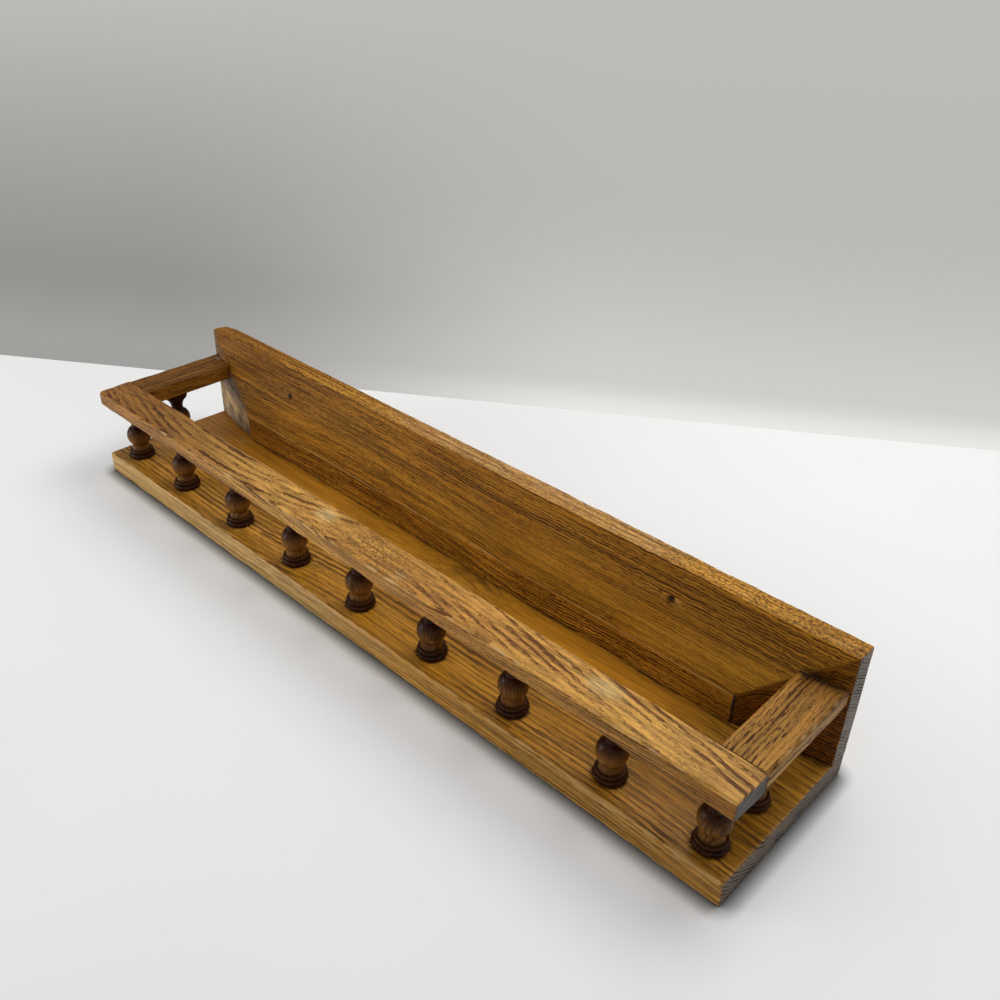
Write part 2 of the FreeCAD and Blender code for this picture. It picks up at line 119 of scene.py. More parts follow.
@dataclass(frozen=True)
class Joints:
    """Holes that more than one piece shares, and how far their cutters stick out."""

    mortise: float = 4.6 * MM  # radius, 0.1 mm more than a tenon's
    rail_mortise_depth: float = 8.5 * MM
    dowel: float = 3.1 * MM  # radius of its hole
    dowel_depth: float = 12.5 * MM
    dowel_x: float = 317.5 * MM  # how far the dowels are from the rack's middle
    clearance: float = 1 * MM  # what a cutter sticks out of a square face
    slant_clearance: float = 6 * MM  # and out of a slanted one


JOINTS = Joints()


def shade(code: str) -> Colour:
    """Colour written as six hexadecimal digits, as a shader wants it.

    Args:
        code: red, green and blue as seen on a screen.

    Returns:
        The linear red, green and blue, and 1.
    """
    seen = np.array([int(code[at:at + 2], 16) for at in (0, 2, 4)]) / 255
    linear = np.where(seen <= 0.04045, seen / 12.92, ((seen + 0.055) / 1.055) ** 2.4)
    return (*map(float, linear), 1.0)


# ---- shapes


def ripple(points: Array, wavelength: float, seed: int, waves: int = 7) -> Array:
    """Smooth number that wanders between about -1 and 1 through space.

    Formula: the sum of a few sine waves. Each runs its own seeded way with its own phase and a
    length near the one asked for, and the sum is divided by the root of their number.

    Args:
        points: one place per row.
        wavelength: typical distance between crests, in the points' unit.
        seed: picks the waves.
        waves: how many are added.

    Returns:
        One number per place.
    """
    chance = np.random.default_rng(seed)
    ways = chance.normal(size=(waves, points.shape[1]))
    ways /= np.linalg.norm(ways, axis=1, keepdims=True)
    ways *= 2 * np.pi / (wavelength * chance.uniform(0.7, 1.5, (waves, 1)))
    phases = chance.uniform(0, 2 * np.pi, waves)
    return np.sin(points @ ways.T + phases).sum(axis=1) / np.sqrt(waves)


def wander(along: Array, wavelength: float, seed: int) -> Array:
    """The ripple of one coordinate alone, of the same shape as that coordinate."""
    return ripple(along.reshape(-1, 1), wavelength, seed).reshape(along.shape)


def bell(distance: Array, reach: float) -> Array:
    """1 at no distance, falling off as a bell curve over the reach."""
    return np.exp(-(distance / reach) ** 2)


def ease_in(value: Array, low: float, high: float) -> Array:
    """0 below low, 1 above high, and a smooth S between them."""
    share = np.clip((value - low) / (high - low), 0, 1)
    return share * share * (3 - 2 * share)


def spot(points: Array, centre: Triple, reach: Triple) -> Array:
    """Soft egg-shaped patch: 1 at its centre, falling off over its reach on each axis.

    Args:
        points: places, in metres.
        centre: millimetres.
        reach: half lengths, in millimetres.

    Returns:
        One weight per place.
    """
    away = (points - np.array(centre) * MM) / (np.array(reach) * MM)
    return np.exp(-(away ** 2).sum(axis=1))


def marks_at(points: Array, marks: tuple[Mark, ...]) -> Array:
    """Sum of soft patches, each with its own strength."""
    return sum(strength * spot(points, centre, reach) for strength, centre, reach in marks)


def stations(low: float, high: float, marks: tuple[float, ...], reach: float, fine: float,
             coarse: float) -> Array:
    """Rising row of places from low to high that crowd together near the marks.

    Formula: a density of one per coarse step, plus a bell of one per fine step round each mark,
    is added up along the row, and the places stand at equal steps of that running total.

    Args:
        low, high: the ends, in metres.
        marks: where the places crowd.
        reach: how far the crowding goes.
        fine, coarse: the step at a mark and away from them.

    Returns:
        The places.
    """
    samples = 6001  # fine enough that the crowding comes out smooth
    line = np.linspace(low, high, samples)
    density = np.full(samples, 1 / coarse)
    for mark in marks:
        density += bell(line - mark, reach) / fine
    total = np.concatenate([[0], np.cumsum((density[1:] + density[:-1]) / 2 * np.diff(line))])
    count = int(np.ceil(total[-1])) + 1
    return np.interp(np.linspace(0, total[-1], count), total, line)


def box_rows(low: Array, high: Array, spacing: tuple[Triple, Triple, Triple],
             marks: tuple[tuple[float, ...], ...] = ((), (), ())) -> tuple[Array, ...]:
    """Stations along a box's three sides, crowded at its arrises.

    Args:
        low, high: the box's corners.
        spacing: along x, y and z, the reach of the crowding, the step at an arris and the step
            away from it, in millimetres.
        marks: further places to crowd at along x, y and z, in metres.

    Returns:
        The stations along x, y and z.
    """
    rows = []
    for start, end, steps, extra in zip(low, high, spacing, marks):
        reach, fine, coarse = (step * MM for step in steps)
        rows.append(stations(start, end, (start, end, *extra), reach, fine, coarse))
    return tuple(rows)


def box_shell(rows: tuple[Array, ...]) -> Shell:
    """Closed shell of a box whose faces are grids on three rows of stations.

    Formula: each face is the grid of two rows at one end of the third, and corners that faces
    share are one point.

    Args:
        rows: the stations along x, y and z.

    Returns:
        The points and the four-sided faces, which look outwards.
    """
    counts = np.array([len(row) for row in rows])
    stride = np.array([1, counts[0], counts[0] * counts[1]])
    patches = []
    for axis in range(3):
        first, second = (axis + 1) % 3, (axis + 2) % 3
        for end in (0, counts[axis] - 1):
            index = np.zeros((counts[first], counts[second], 3), int)
            index[..., axis] = end
            index[..., first] = np.arange(counts[first])[:, None]
            index[..., second] = np.arange(counts[second])[None, :]
            key = index @ stride
            a, b, c, d = key[:-1, :-1], key[1:, :-1], key[1:, 1:], key[:-1, 1:]
            corners = (a, b, c, d) if end else (a, d, c, b)
            patches.append(np.stack(corners, axis=-1).reshape(-1, 4))
    used, quads = np.unique(np.concatenate(patches), return_inverse=True)
    places = (used % counts[0], used // counts[0] % counts[1], used // stride[2])
    points = np.column_stack([row[place] for row, place in zip(rows, places)])
    return points, [quads.reshape(-1, 4)]


def ease_arrises(points: Array, low: Array, high: Array, radius: Array) -> Array:
    """Round a box's arrises.

    Formula: a point is drawn back into the box that is smaller by the radii. What it sticks out
    by is measured in radii, made one long, and put back, which gives a quarter of an ellipse.

    Args:
        points: places on the box.
        low, high: the box's corners.
        radius: each point's radius along x, y and z.

    Returns:
        The moved points.
    """
    inner = np.clip(points, low + radius, high - radius)
    out = (points - inner) / radius
    reach = np.maximum(np.linalg.norm(out, axis=1, keepdims=True), 1)
    return inner + out / reach * radius


def lathe_shell(profile: Array, segments: int) -> Shell:
    """Closed shell turned round the Z axis.

    Formula: each inner point of the profile becomes a ring of equal steps round the axis, and
    the first and last, which lie on the axis, become the two poles.

    Args:
        profile: rows of radius and height, from the lower pole up.
        segments: steps round the axis.

    Returns:
        The points, and the faces: four-sided between the rings, three-sided at the poles.
    """
    turn = np.linspace(0, 2 * np.pi, segments, endpoint=False)
    radii, heights = profile[1:-1, 0], profile[1:-1, 1]
    rings = np.stack([radii[:, None] * np.cos(turn), radii[:, None] * np.sin(turn),
                      np.repeat(heights[:, None], segments, axis=1)], axis=-1)
    poles = np.array([[0, 0, profile[0, 1]], [0, 0, profile[-1, 1]]])
    points = np.concatenate([rings.reshape(-1, 3), poles])
    index = np.arange(len(radii) * segments).reshape(len(radii), segments)
    beyond = np.roll(index, -1, axis=1)
    quads = np.stack([index[:-1], beyond[:-1], beyond[1:], index[1:]], axis=-1).reshape(-1, 4)
    lowest, highest = index.size, index.size + 1
    foot = np.stack([beyond[0], index[0], np.full(segments, lowest)], axis=-1)
    head = np.stack([index[-1], beyond[-1], np.full(segments, highest)], axis=-1)
    return points, [quads, foot, head]


def arc(start: Pair, end: Pair, radius: float,
        count: int = 14) -> Array:
    """Points of a circular arc between two points of a profile.

    Formula: the centre stands off the middle of the chord by the root of the radius squared
    less half the chord squared, and the points stand at equal angles round it.

    Args:
        start, end: radius and height.
        radius: positive bulges to the right of the way from start to end, negative to its left.
        count: how many points.

    Returns:
        Rows of radius and height, both ends among them.
    """
    first, last = np.array(start, float), np.array(end, float)
    chord = last - first
    half = np.linalg.norm(chord) / 2
    side = np.sign(radius)
    outward = np.array([chord[1], -chord[0]]) / (2 * half) * side
    centre = (first + last) / 2 - outward * np.sqrt(max(radius * radius - half * half, 0))
    angles = np.arctan2(*(np.array([first, last]) - centre).T[::-1])
    sweep = (angles[1] - angles[0] + np.pi) % (2 * np.pi) - np.pi
    steps = angles[0] + np.linspace(0, 1, count) * sweep
    return centre + abs(radius) * np.column_stack([np.cos(steps), np.sin(steps)])


def soften(profile: Array, reach: float, step: float) -> Array:
    """Profile with its corners worn round.

    Formula: it is sampled at equal steps along its length and averaged under a bell curve, with
    each end held by turning the line about it.

    Args:
        profile: rows of radius and height.
        reach: the bell's width, in metres.
        step: distance between samples.

    Returns:
        The worn profile, with the same two ends.
    """
    length = np.concatenate([[0], np.cumsum(np.linalg.norm(np.diff(profile, axis=0), axis=1))])
    even = np.linspace(0, length[-1], int(length[-1] / step) + 1)
    line = np.column_stack([np.interp(even, length, profile[:, axis]) for axis in (0, 1)])
    spread = int(np.ceil(3 * reach / step))
    kernel = bell(np.arange(-spread, spread + 1) * step, reach)
    kernel /= kernel.sum()
    before = 2 * line[0] - line[spread:0:-1]
    after = 2 * line[-1] - line[-2:-spread - 2:-1]
    longer = np.concatenate([before, line, after])
    worn = np.column_stack([np.convolve(longer[:, axis], kernel, "valid") for axis in (0, 1)])
    worn[:, 0] = np.maximum(worn[:, 0], 0)
    worn[0], worn[-1] = line[0], line[-1]
    return worn


def new_piece(name: str, points: Array, faces: list[Array]) -> Object:
    """Put points and faces into a mesh object that lies at the origin.

    Args:
        name: the piece's name.
        points: places in the row's frame, in metres.
        faces: arrays of point numbers, one face per row.

    Returns:
        The object, linked to the scene.
    """
    mesh = bpy.data.meshes.new(name)
    loops = np.concatenate([part.ravel() for part in faces]).astype(np.int32)
    sizes = np.concatenate([np.full(len(part), part.shape[1]) for part in faces])
    starts = np.concatenate([[0], np.cumsum(sizes)[:-1]]).astype(np.int32)
    mesh.vertices.add(len(points))
    mesh.vertices.foreach_set("co", points.astype(np.float32).ravel())
    mesh.loops.add(len(loops))
    mesh.loops.foreach_set("vertex_index", loops)
    mesh.polygons.add(len(sizes))
    mesh.polygons.foreach_set("loop_start", starts)
    mesh.update(calc_edges=True)
    piece = bpy.data.objects.new(name, mesh)
    bpy.context.scene.collection.objects.link(piece)
    return piece


def places_of(piece: Object) -> Array:
    """Where a piece's points lie.

    Args:
        piece: a mesh object.

    Returns:
        One place per row, in metres.
    """
    flat = np.zeros(len(piece.data.vertices) * 3, np.float32)
    piece.data.vertices.foreach_get("co", flat)
    return flat.reshape(-1, 3).astype(float)


def normals_of(piece: Object) -> Array:
    """Which way a piece's surface looks at its points.

    Args:
        piece: a mesh object.

    Returns:
        One unit vector per row.
    """
    flat = np.zeros(len(piece.data.vertices) * 3, np.float32)
    piece.data.vertex_normals.foreach_get("vector", flat)
    return flat.reshape(-1, 3).astype(float)


def laid_back(points: Array) -> Array:
    """Points turned, not mirrored, so that what stood upright runs from front to back."""
    return points[:, [1, 2, 0]]


def turned_cutter(profile: Array, centre: Triple, way: Bore, segments: int = 40) -> Shell:
    """Shell of a drill or countersink.

    Args:
        profile: rows of radius and distance along the hole.
        centre: where the profile's zero lies, in metres.
        way: the way that the hole runs.
        segments: steps round it.

    Returns:
        Points and faces, facing outwards.
    """
    points, faces = lathe_shell(profile, segments)
    if way is Bore.FRONT_TO_BACK:
        points = laid_back(points)
    return points + np.array(centre), faces


def drill(radius: float, start: float, end: float) -> Array:
    """Profile of a plain hole from start to end along its axis."""
    return np.array([[0, start], [radius, start], [radius, end], [0, end]])


def carve(piece: Object, shells: list[Shell]) -> None:
    """Cut closed shells out of a piece, and keep the result as its plain mesh.

    Args:
        piece: the board, rail or spindle.
        shells: points and faces of each cutter. They don't touch each other.
    """
    offset = np.cumsum([0] + [len(points) for points, _ in shells[:-1]])
    faces = [part + shift for (_, parts), shift in zip(shells, offset) for part in parts]
    cutter = new_piece("cutter", np.concatenate([points for points, _ in shells]), faces)
    cut = piece.modifiers.new("holes", "BOOLEAN")
    cut.operation = "DIFFERENCE"
    cut.solver = "MANIFOLD"
    cut.object = cutter
    bpy.context.view_layer.update()
    evaluated = piece.evaluated_get(bpy.context.evaluated_depsgraph_get())
    carved = bpy.data.meshes.new_from_object(evaluated)
    piece.modifiers.clear()
    plain, piece.data = piece.data, carved
    bpy.data.meshes.remove(plain)
    blank = cutter.data
    bpy.data.objects.remove(cutter)
    bpy.data.meshes.remove(blank)
    carved.name = piece.name


@dataclass
class Figure:
    """What the fibre, wear, dirt and painted light and shade do on one piece: one value per
    point, or one for all of them.
    """

    grain: Array
    care_and_light: Array
    stain_and_shade: Array | float
    end_grain_and_sheen: Array | float = 0.0
    speckle: Array | float = 0.0
    clarity: Array | float = 1.0

    def store(self, piece: Object) -> None:
        """Write the values onto a piece as attributes.

        Args:
            piece: the mesh object that the values belong to.
        """
        for name, values in (("grain", self.grain), ("care_and_light", np.clip(self.care_and_light, 0, 1))):
            attribute = piece.data.attributes.new(name, "FLOAT_VECTOR", "POINT")
            attribute.data.foreach_set("vector", values.astype(np.float32).ravel())
        for name, values in (("end_grain_and_sheen", self.end_grain_and_sheen), ("speckle", self.speckle),
                             ("stain_and_shade", np.clip(self.stain_and_shade, 0, 1)),
                             ("clarity", np.clip(self.clarity, 0, 2))):
            attribute = piece.data.attributes.new(name, "FLOAT", "POINT")
            every = np.broadcast_to(values, len(self.grain)).astype(np.float32)
            attribute.data.foreach_set("value", every)


def log_coordinates(along: Array, first: Array, second: Array,
                    pith: Pair) -> Array:
    """Place of each point in the log that a piece was cut from.

    Formula: out from the pith is the distance from the pith's line, and round it is the angle
    times that distance at the piece's middle.

    Args:
        along: the coordinate that runs with the fibre, in metres.
        first, second: the two across it.
        pith: the pith's place in those two.

    Returns:
        Rows of along, out and round.
    """
    out = np.hypot(first - pith[0], second - pith[1])
    angle = np.arctan2(second - pith[1], first - pith[0])
    return np.column_stack([along, out, angle * out.mean()])


def finish_piece(piece: Object, material: Material, slot: Slot,
                 *nodes: str) -> Object:
    """Dress a piece, let it ride on the rack, and let it stand for its CAD nodes.

    Args:
        piece: the finished mesh object.
        material: its finish.
        slot: the record's slot of that finish. It is not used.
        nodes: the CAD nodes that it stands for.

    Returns:
        The same piece.
    """
    piece.data.materials.clear()
    piece.data.materials.append(material)
    piece.data.shade_smooth()
    piece.data.set_sharp_from_angle(angle=CRISP)
    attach(piece, "root")
    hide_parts(*nodes)
    LOG.info("%s: %d points, %d faces", piece.name, len(piece.data.vertices),
             len(piece.data.polygons))
    return piece


# ---- shader helpers


class Graph:
    """Lays out a shader's nodes with few words.

    Where a method takes an object, it is an output of another node or a plain value.
    """

    def __init__(self, tree: bpy.types.NodeTree) -> None:
        """Work on this tree."""
        self.tree = tree

    def node(self, kind: str, **settings: object) -> Node:
        """Add a node.

        Args:
            kind: the node's type.
            settings: its properties.

        Returns:
            The node.
        """
        made = self.tree.nodes.new(kind)
        for name, value in settings.items():
            setattr(made, name, value)
        return made

    def feed(self, socket: Socket, value: object) -> None:
        """Join an output to a socket, or set the socket's own value.

        Args:
            socket: an input of a node.
            value: what it gets.
        """
        if isinstance(value, Socket):
            self.tree.links.new(value, socket)
        else:
            socket.default_value = value

    def fed(self, kind: str, *values: object, **settings: object) -> Node:
        """Add a node and feed its first inputs.

        Args:
            kind: the node's type.
            values: what the inputs get, in their order.
            settings: the node's properties.

        Returns:
            The node.
        """
        made = self.node(kind, **settings)
        for socket, value in zip(made.inputs, values):
            self.feed(socket, value)
        return made

    def maths(self, operation: str, *values: object) -> Socket:
        """One step of arithmetic."""
        return self.fed("ShaderNodeMath", *values, operation=operation).outputs[0]

    def less(self, value: object, other: object) -> Socket:
        """A number less another."""
        return self.maths("SUBTRACT", value, other)

    def times(self, value: object, factor: object) -> Socket:
        """A number times another."""
        return self.maths("MULTIPLY", value, factor)

    def stretch(self, vector: Socket, factors: object) -> Socket:
        """A vector with each part multiplied by its own factor."""
        return self.fed("ShaderNodeVectorMath", vector, factors, operation="MULTIPLY").outputs[0]

    def parts(self, vector: Socket) -> tuple[Socket, ...]:
        """The x, y and z of a vector."""
        return tuple(self.fed("ShaderNodeSeparateXYZ", vector).outputs)

    def whole(self, x: object, y: object, z: object) -> Socket:
        """The vector of these three parts."""
        return self.fed("ShaderNodeCombineXYZ", x, y, z).outputs[0]

    def noise(self, vector: Socket, scale: float = 1.0, detail: float = 2.0,
              roughness: float = 0.5) -> Socket:
        """Cloudy noise, about 0.5 on average.

        Args:
            vector: the place that it is read at.
            scale: clouds per unit of that place.
            detail: how many finer layers are added.
            roughness: how strong each finer layer is.

        Returns:
            A number from 0 to 1.
        """
        made = self.node("ShaderNodeTexNoise")
        for name, value in (("Vector", vector), ("Scale", scale), ("Detail", detail),
                            ("Roughness", roughness)):
            self.feed(made.inputs[name], value)
        return made.outputs["Fac"]

    def step(self, value: Socket, low: float, high: float, start: float = 0.0,
             end: float = 1.0) -> Socket:
        """Smooth rise, or fall, from one number to another.

        Args:
            value: what it follows.
            low, high: the values between which it rises.
            start, end: what it gives at low and at high.

        Returns:
            The number.
        """
        made = self.fed("ShaderNodeMapRange", value, low, high, start, end,
                        interpolation_type="SMOOTHSTEP")
        return made.outputs[0]

    def mix(self, amount: object, first: object, second: object, mode: str = "MIX") -> Socket:
        """Mix two colours.

        Args:
            amount: 0 for the first alone, 1 for the second put over it in full.
            first, second: the colours.
            mode: how the second goes over the first.

        Returns:
            The mixed colour.
        """
        made = self.fed("ShaderNodeMix", amount, data_type="RGBA", blend_type=mode)
        self.feed(made.inputs[6], first)  # 6 and 7 are the two colours of this node
        self.feed(made.inputs[7], second)
        return made.outputs[2]

    def tint(self, colour: object, factor: object) -> Socket:
        """A colour multiplied by another, or by a number."""
        return self.mix(1.0, colour, factor, "MULTIPLY")

    def ramp(self, value: Socket, stops: tuple[Pair, ...]) -> Socket:
        """Number that follows a few stops.

        Args:
            value: from 0 to 1.
            stops: place and height of each, in rising order of place.

        Returns:
            The height at the value.
        """
        made = self.fed("ShaderNodeValToRGB", value)
        points = made.color_ramp.elements
        while len(points) < len(stops):
            points.new(0.5)
        for point, (place, height) in zip(points, stops):
            point.position = place
            point.color = (height, height, height, 1)
        return made.outputs[0]

    def attribute(self, name: str) -> Node:
        """The node that reads one of the piece's attributes."""
        return self.node("ShaderNodeAttribute", attribute_name=name)

    def bump(self, height: Socket, strength: float, depth: float) -> Socket:
        """Bend the normal by a height.

        Args:
            height: from 0 to 1.
            strength: share of the bend, from 0 to 1.
            depth: what a height of 1 stands for, in metres.

        Returns:
            The bent normal.
        """
        made = self.node("ShaderNodeBump")
        for name, value in (("Strength", strength), ("Distance", depth), ("Height", height)):
            self.feed(made.inputs[name], value)
        return made.outputs[0]


FLOAT, VECTOR, COLOUR = "NodeSocketFloat", "NodeSocketVector", "NodeSocketColor"


def new_group(name: str, inputs: tuple[tuple[str, str], ...],
              outputs: tuple[tuple[str, str], ...]
              ) -> tuple[Graph, dict[str, Socket], dict[str, Socket]]:
    """Start a shader node group.

    Args:
        name: the group's name.
        inputs: name and kind of each input.
        outputs: name and kind of each output.

    Returns:
        Its graph, the sockets that bring its inputs, and the sockets that take its outputs.
    """
    tree = bpy.data.node_groups.new(name, "ShaderNodeTree")
    for in_out, sockets in (("INPUT", inputs), ("OUTPUT", outputs)):
        for label, kind in sockets:
            tree.interface.new_socket(label, in_out=in_out, socket_type=kind)
    graph = Graph(tree)
    given = {socket.name: socket for socket in graph.node("NodeGroupInput").outputs}
    wanted = {socket.name: socket for socket in graph.node("NodeGroupOutput").inputs}
    return graph, given, wanted


# how often each noise turns over in a metre: along the fibre, out from the pith, round it
DRIFT_RATE = (5, 45, 45)
SHIVER_RATE = (60, 300, 300)
PATCH_RATE = (14, 80, 80)
FIBRE_RATE = (34, 1500, 1500)
STREAK_RATE = (9, 430, 430)
TONE_RATE = (5, 26, 26)
WEAR_RATE = (110, 500, 500)
# the porousness through one year: place in the year and height
YEAR = ((0.0, 0.0), (0.08, 1.0), (0.38, 0.85), (0.66, 0.15), (1.0, 0.0))


def growth_ring(graph: Graph, grain: Socket, width: Socket, wander_by: Socket,
                speckle: Socket) -> Socket:
    """Lay out the growth rings.

    Formula: equal steps of the distance from the pith, moved by slow noise. A ring rises
    sharply where spring growth starts and fades through the summer, each year has its own
    strength, and all of it is weaker in patches and where the fibres dive.

    Args:
        graph: the group's graph.
        grain: place in the log.
        width: of one ring.
        wander_by: how many rings the slow noise moves them by.
        speckle: 1 where the fibres dive.

    Returns:
        1 in the porous part of a ring, 0 in its dense part.
    """
    _, out, _ = graph.parts(grain)
    slow = graph.noise(graph.stretch(grain, DRIFT_RATE))
    quick = graph.noise(graph.stretch(grain, SHIVER_RATE))
    drift = graph.times(graph.less(slow, 0.5), wander_by)
    shiver = graph.times(graph.less(quick, 0.5), 0.7)
    count = graph.maths("DIVIDE", out, width)
    phase = graph.maths("ADD", graph.maths("ADD", count, drift), shiver)
    band = graph.ramp(graph.maths("FRACT", phase), YEAR)
    chance = graph.node("ShaderNodeTexWhiteNoise", noise_dimensions="1D")
    graph.feed(chance.inputs["W"], graph.maths("FLOOR", phase))
    year = graph.step(chance.outputs["Value"], 0.0, 1.0, 0.45, 1.0)
    patchy = graph.step(graph.noise(graph.stretch(grain, PATCH_RATE)), 0.36, 0.62, 0.4, 1.1)
    ring = graph.times(graph.times(band, year), patchy)
    return graph.times(ring, graph.less(1.0, graph.times(speckle, 0.75)))


def pore_dash(graph: Graph, grain: Socket, length: Socket, width: Socket, gather: Socket,
              speckle: Socket) -> Socket:
    """Lay out the pores.

    Formula: two sizes of noise drawn out along the fibre and cut off high. The cut drops where
    the pores gather. Where the fibres dive, rounder noise gives dots.

    Args:
        graph: the group's graph.
        grain: place in the log.
        length, width: of one dash.
        gather: what the noise is raised by, inside a ring.
        speckle: 1 where the fibres dive.

    Returns:
        1 in a pore.
    """
    per_length = graph.maths("DIVIDE", 0.5, length)
    per_width = graph.maths("DIVIDE", 0.5, width)
    lines = graph.stretch(grain, graph.whole(per_length, per_width, per_width))
    broad = graph.noise(lines, detail=1)
    thin = graph.noise(graph.stretch(lines, (2.1, 1.7, 1.7)), detail=1)
    dot = graph.times(per_width, 0.9)
    dots = graph.noise(graph.stretch(grain, graph.whole(graph.times(dot, 0.5), dot, dot)),
                       detail=1)
    dashes = graph.maths(
        "MAXIMUM", graph.step(graph.maths("ADD", broad, gather), 0.58, 0.68),
        graph.times(graph.step(graph.maths("ADD", thin, gather), 0.55, 0.64), 0.8))
    return graph.maths("ADD", graph.times(dashes, graph.less(1.0, speckle)),
                       graph.times(graph.step(dots, 0.51, 0.58), speckle))


def sawn_figure() -> bpy.types.NodeTree:
    """Group that draws sawn oak: growth rings, pores as dashes, fibres, and broad tone.

    Returns:
        The group.
    """
    graph, given, wanted = new_group(
        "Sawn figure",
        (("Grain", VECTOR), ("Ring Width", FLOAT), ("Ring Wander", FLOAT),
         ("Ring Hold", FLOAT), ("Dash Length", FLOAT), ("Dash Width", FLOAT),
         ("Speckle", FLOAT)),
        (("Ring", FLOAT), ("Dash", FLOAT), ("Fibre", FLOAT), ("Streak", FLOAT),
         ("Tone", FLOAT)))
    grain, speckle = given["Grain"], given["Speckle"]
    ring = growth_ring(graph, grain, given["Ring Width"], given["Ring Wander"], speckle)
    gather = graph.times(graph.less(ring, 0.3), given["Ring Hold"])
    dash = pore_dash(graph, grain, given["Dash Length"], given["Dash Width"], gather, speckle)
    fibre = graph.noise(graph.stretch(grain, FIBRE_RATE), detail=4, roughness=0.6)
    streak = graph.noise(graph.stretch(grain, STREAK_RATE), detail=3, roughness=0.6)
    tone = graph.noise(graph.stretch(grain, TONE_RATE), detail=3)
    for name, value in (("Ring", ring), ("Dash", dash), ("Fibre", fibre), ("Streak", streak),
                        ("Tone", tone)):
        graph.feed(wanted[name], value)
    return graph.tree


def handled_and_lit_surface() -> bpy.types.NodeTree:
    """Group that ages a varnished colour and paints light and shade into it: worn arrises,
    dirt and painted shade in corners, pale bleach and painted light in patches.

    Each of the three masks is the piece's own, broken up by noise along the fibre, so that its
    border follows the wood and isn't a line.

    Returns:
        The group.
    """
    graph, given, wanted = new_group(
        "Handled and lit surface",
        (("Colour", COLOUR), ("Care and Light", VECTOR), ("Grain", VECTOR), ("Worn Colour", COLOUR),
         ("Grime and Shade Colour", COLOUR), ("Bleach and Light Colour", COLOUR)),
        (("Colour", COLOUR), ("Dullness", FLOAT)))
    worn, grimy_and_shaded, bleach_and_light = graph.parts(given["Care and Light"])
    broken = graph.less(graph.noise(graph.stretch(given["Grain"], WEAR_RATE), detail=3,
                                    roughness=0.65), 0.5)
    masks = []
    for mask, low, high, ragged in ((worn, 0.3, 0.75, 1.1), (grimy_and_shaded, 0.12, 0.95, 1.4),
                                    (bleach_and_light, 0.2, 0.9, 0.6)):
        fray = graph.times(broken, graph.times(graph.step(mask, 0.02, 0.3), ragged))
        masks.append(graph.step(graph.maths("ADD", mask, fray), low, high))
    worn, grimy_and_shaded, bleach_and_light = masks
    colour = graph.mix(graph.times(worn, 0.75), given["Colour"], given["Worn Colour"])
    # the second mask darkens with dirt and painted shade, the third pales with bleach and painted
    # light
    colour = graph.mix(graph.times(bleach_and_light, 0.7), colour, given["Bleach and Light Colour"])
    colour = graph.mix(graph.times(grimy_and_shaded, 0.85), colour, given["Grime and Shade Colour"])
    graph.feed(wanted["Colour"], colour)
    graph.feed(wanted["Dullness"], graph.maths("MAXIMUM", grimy_and_shaded, graph.times(worn, 0.5)))
    return graph.tree


class Groups:
    """The shader groups that the finishes share, each built once."""

    def __init__(self) -> None:
        """Build them."""
        self.figure = sawn_figure()
        self.handling_and_light = handled_and_lit_surface()


def new_material(name: str) -> tuple[Material, Graph, Node]:
    """Start a material.

    Args:
        name: the finish's name.

    Returns:
        The material, its graph and its Principled shader, already joined to the output.
    """
    material = bpy.data.materials.new(name)
    material.use_nodes = True
    graph = Graph(material.node_tree)
    shader = next(n for n in material.node_tree.nodes if n.type == "BSDF_PRINCIPLED")
    return material, graph, shader


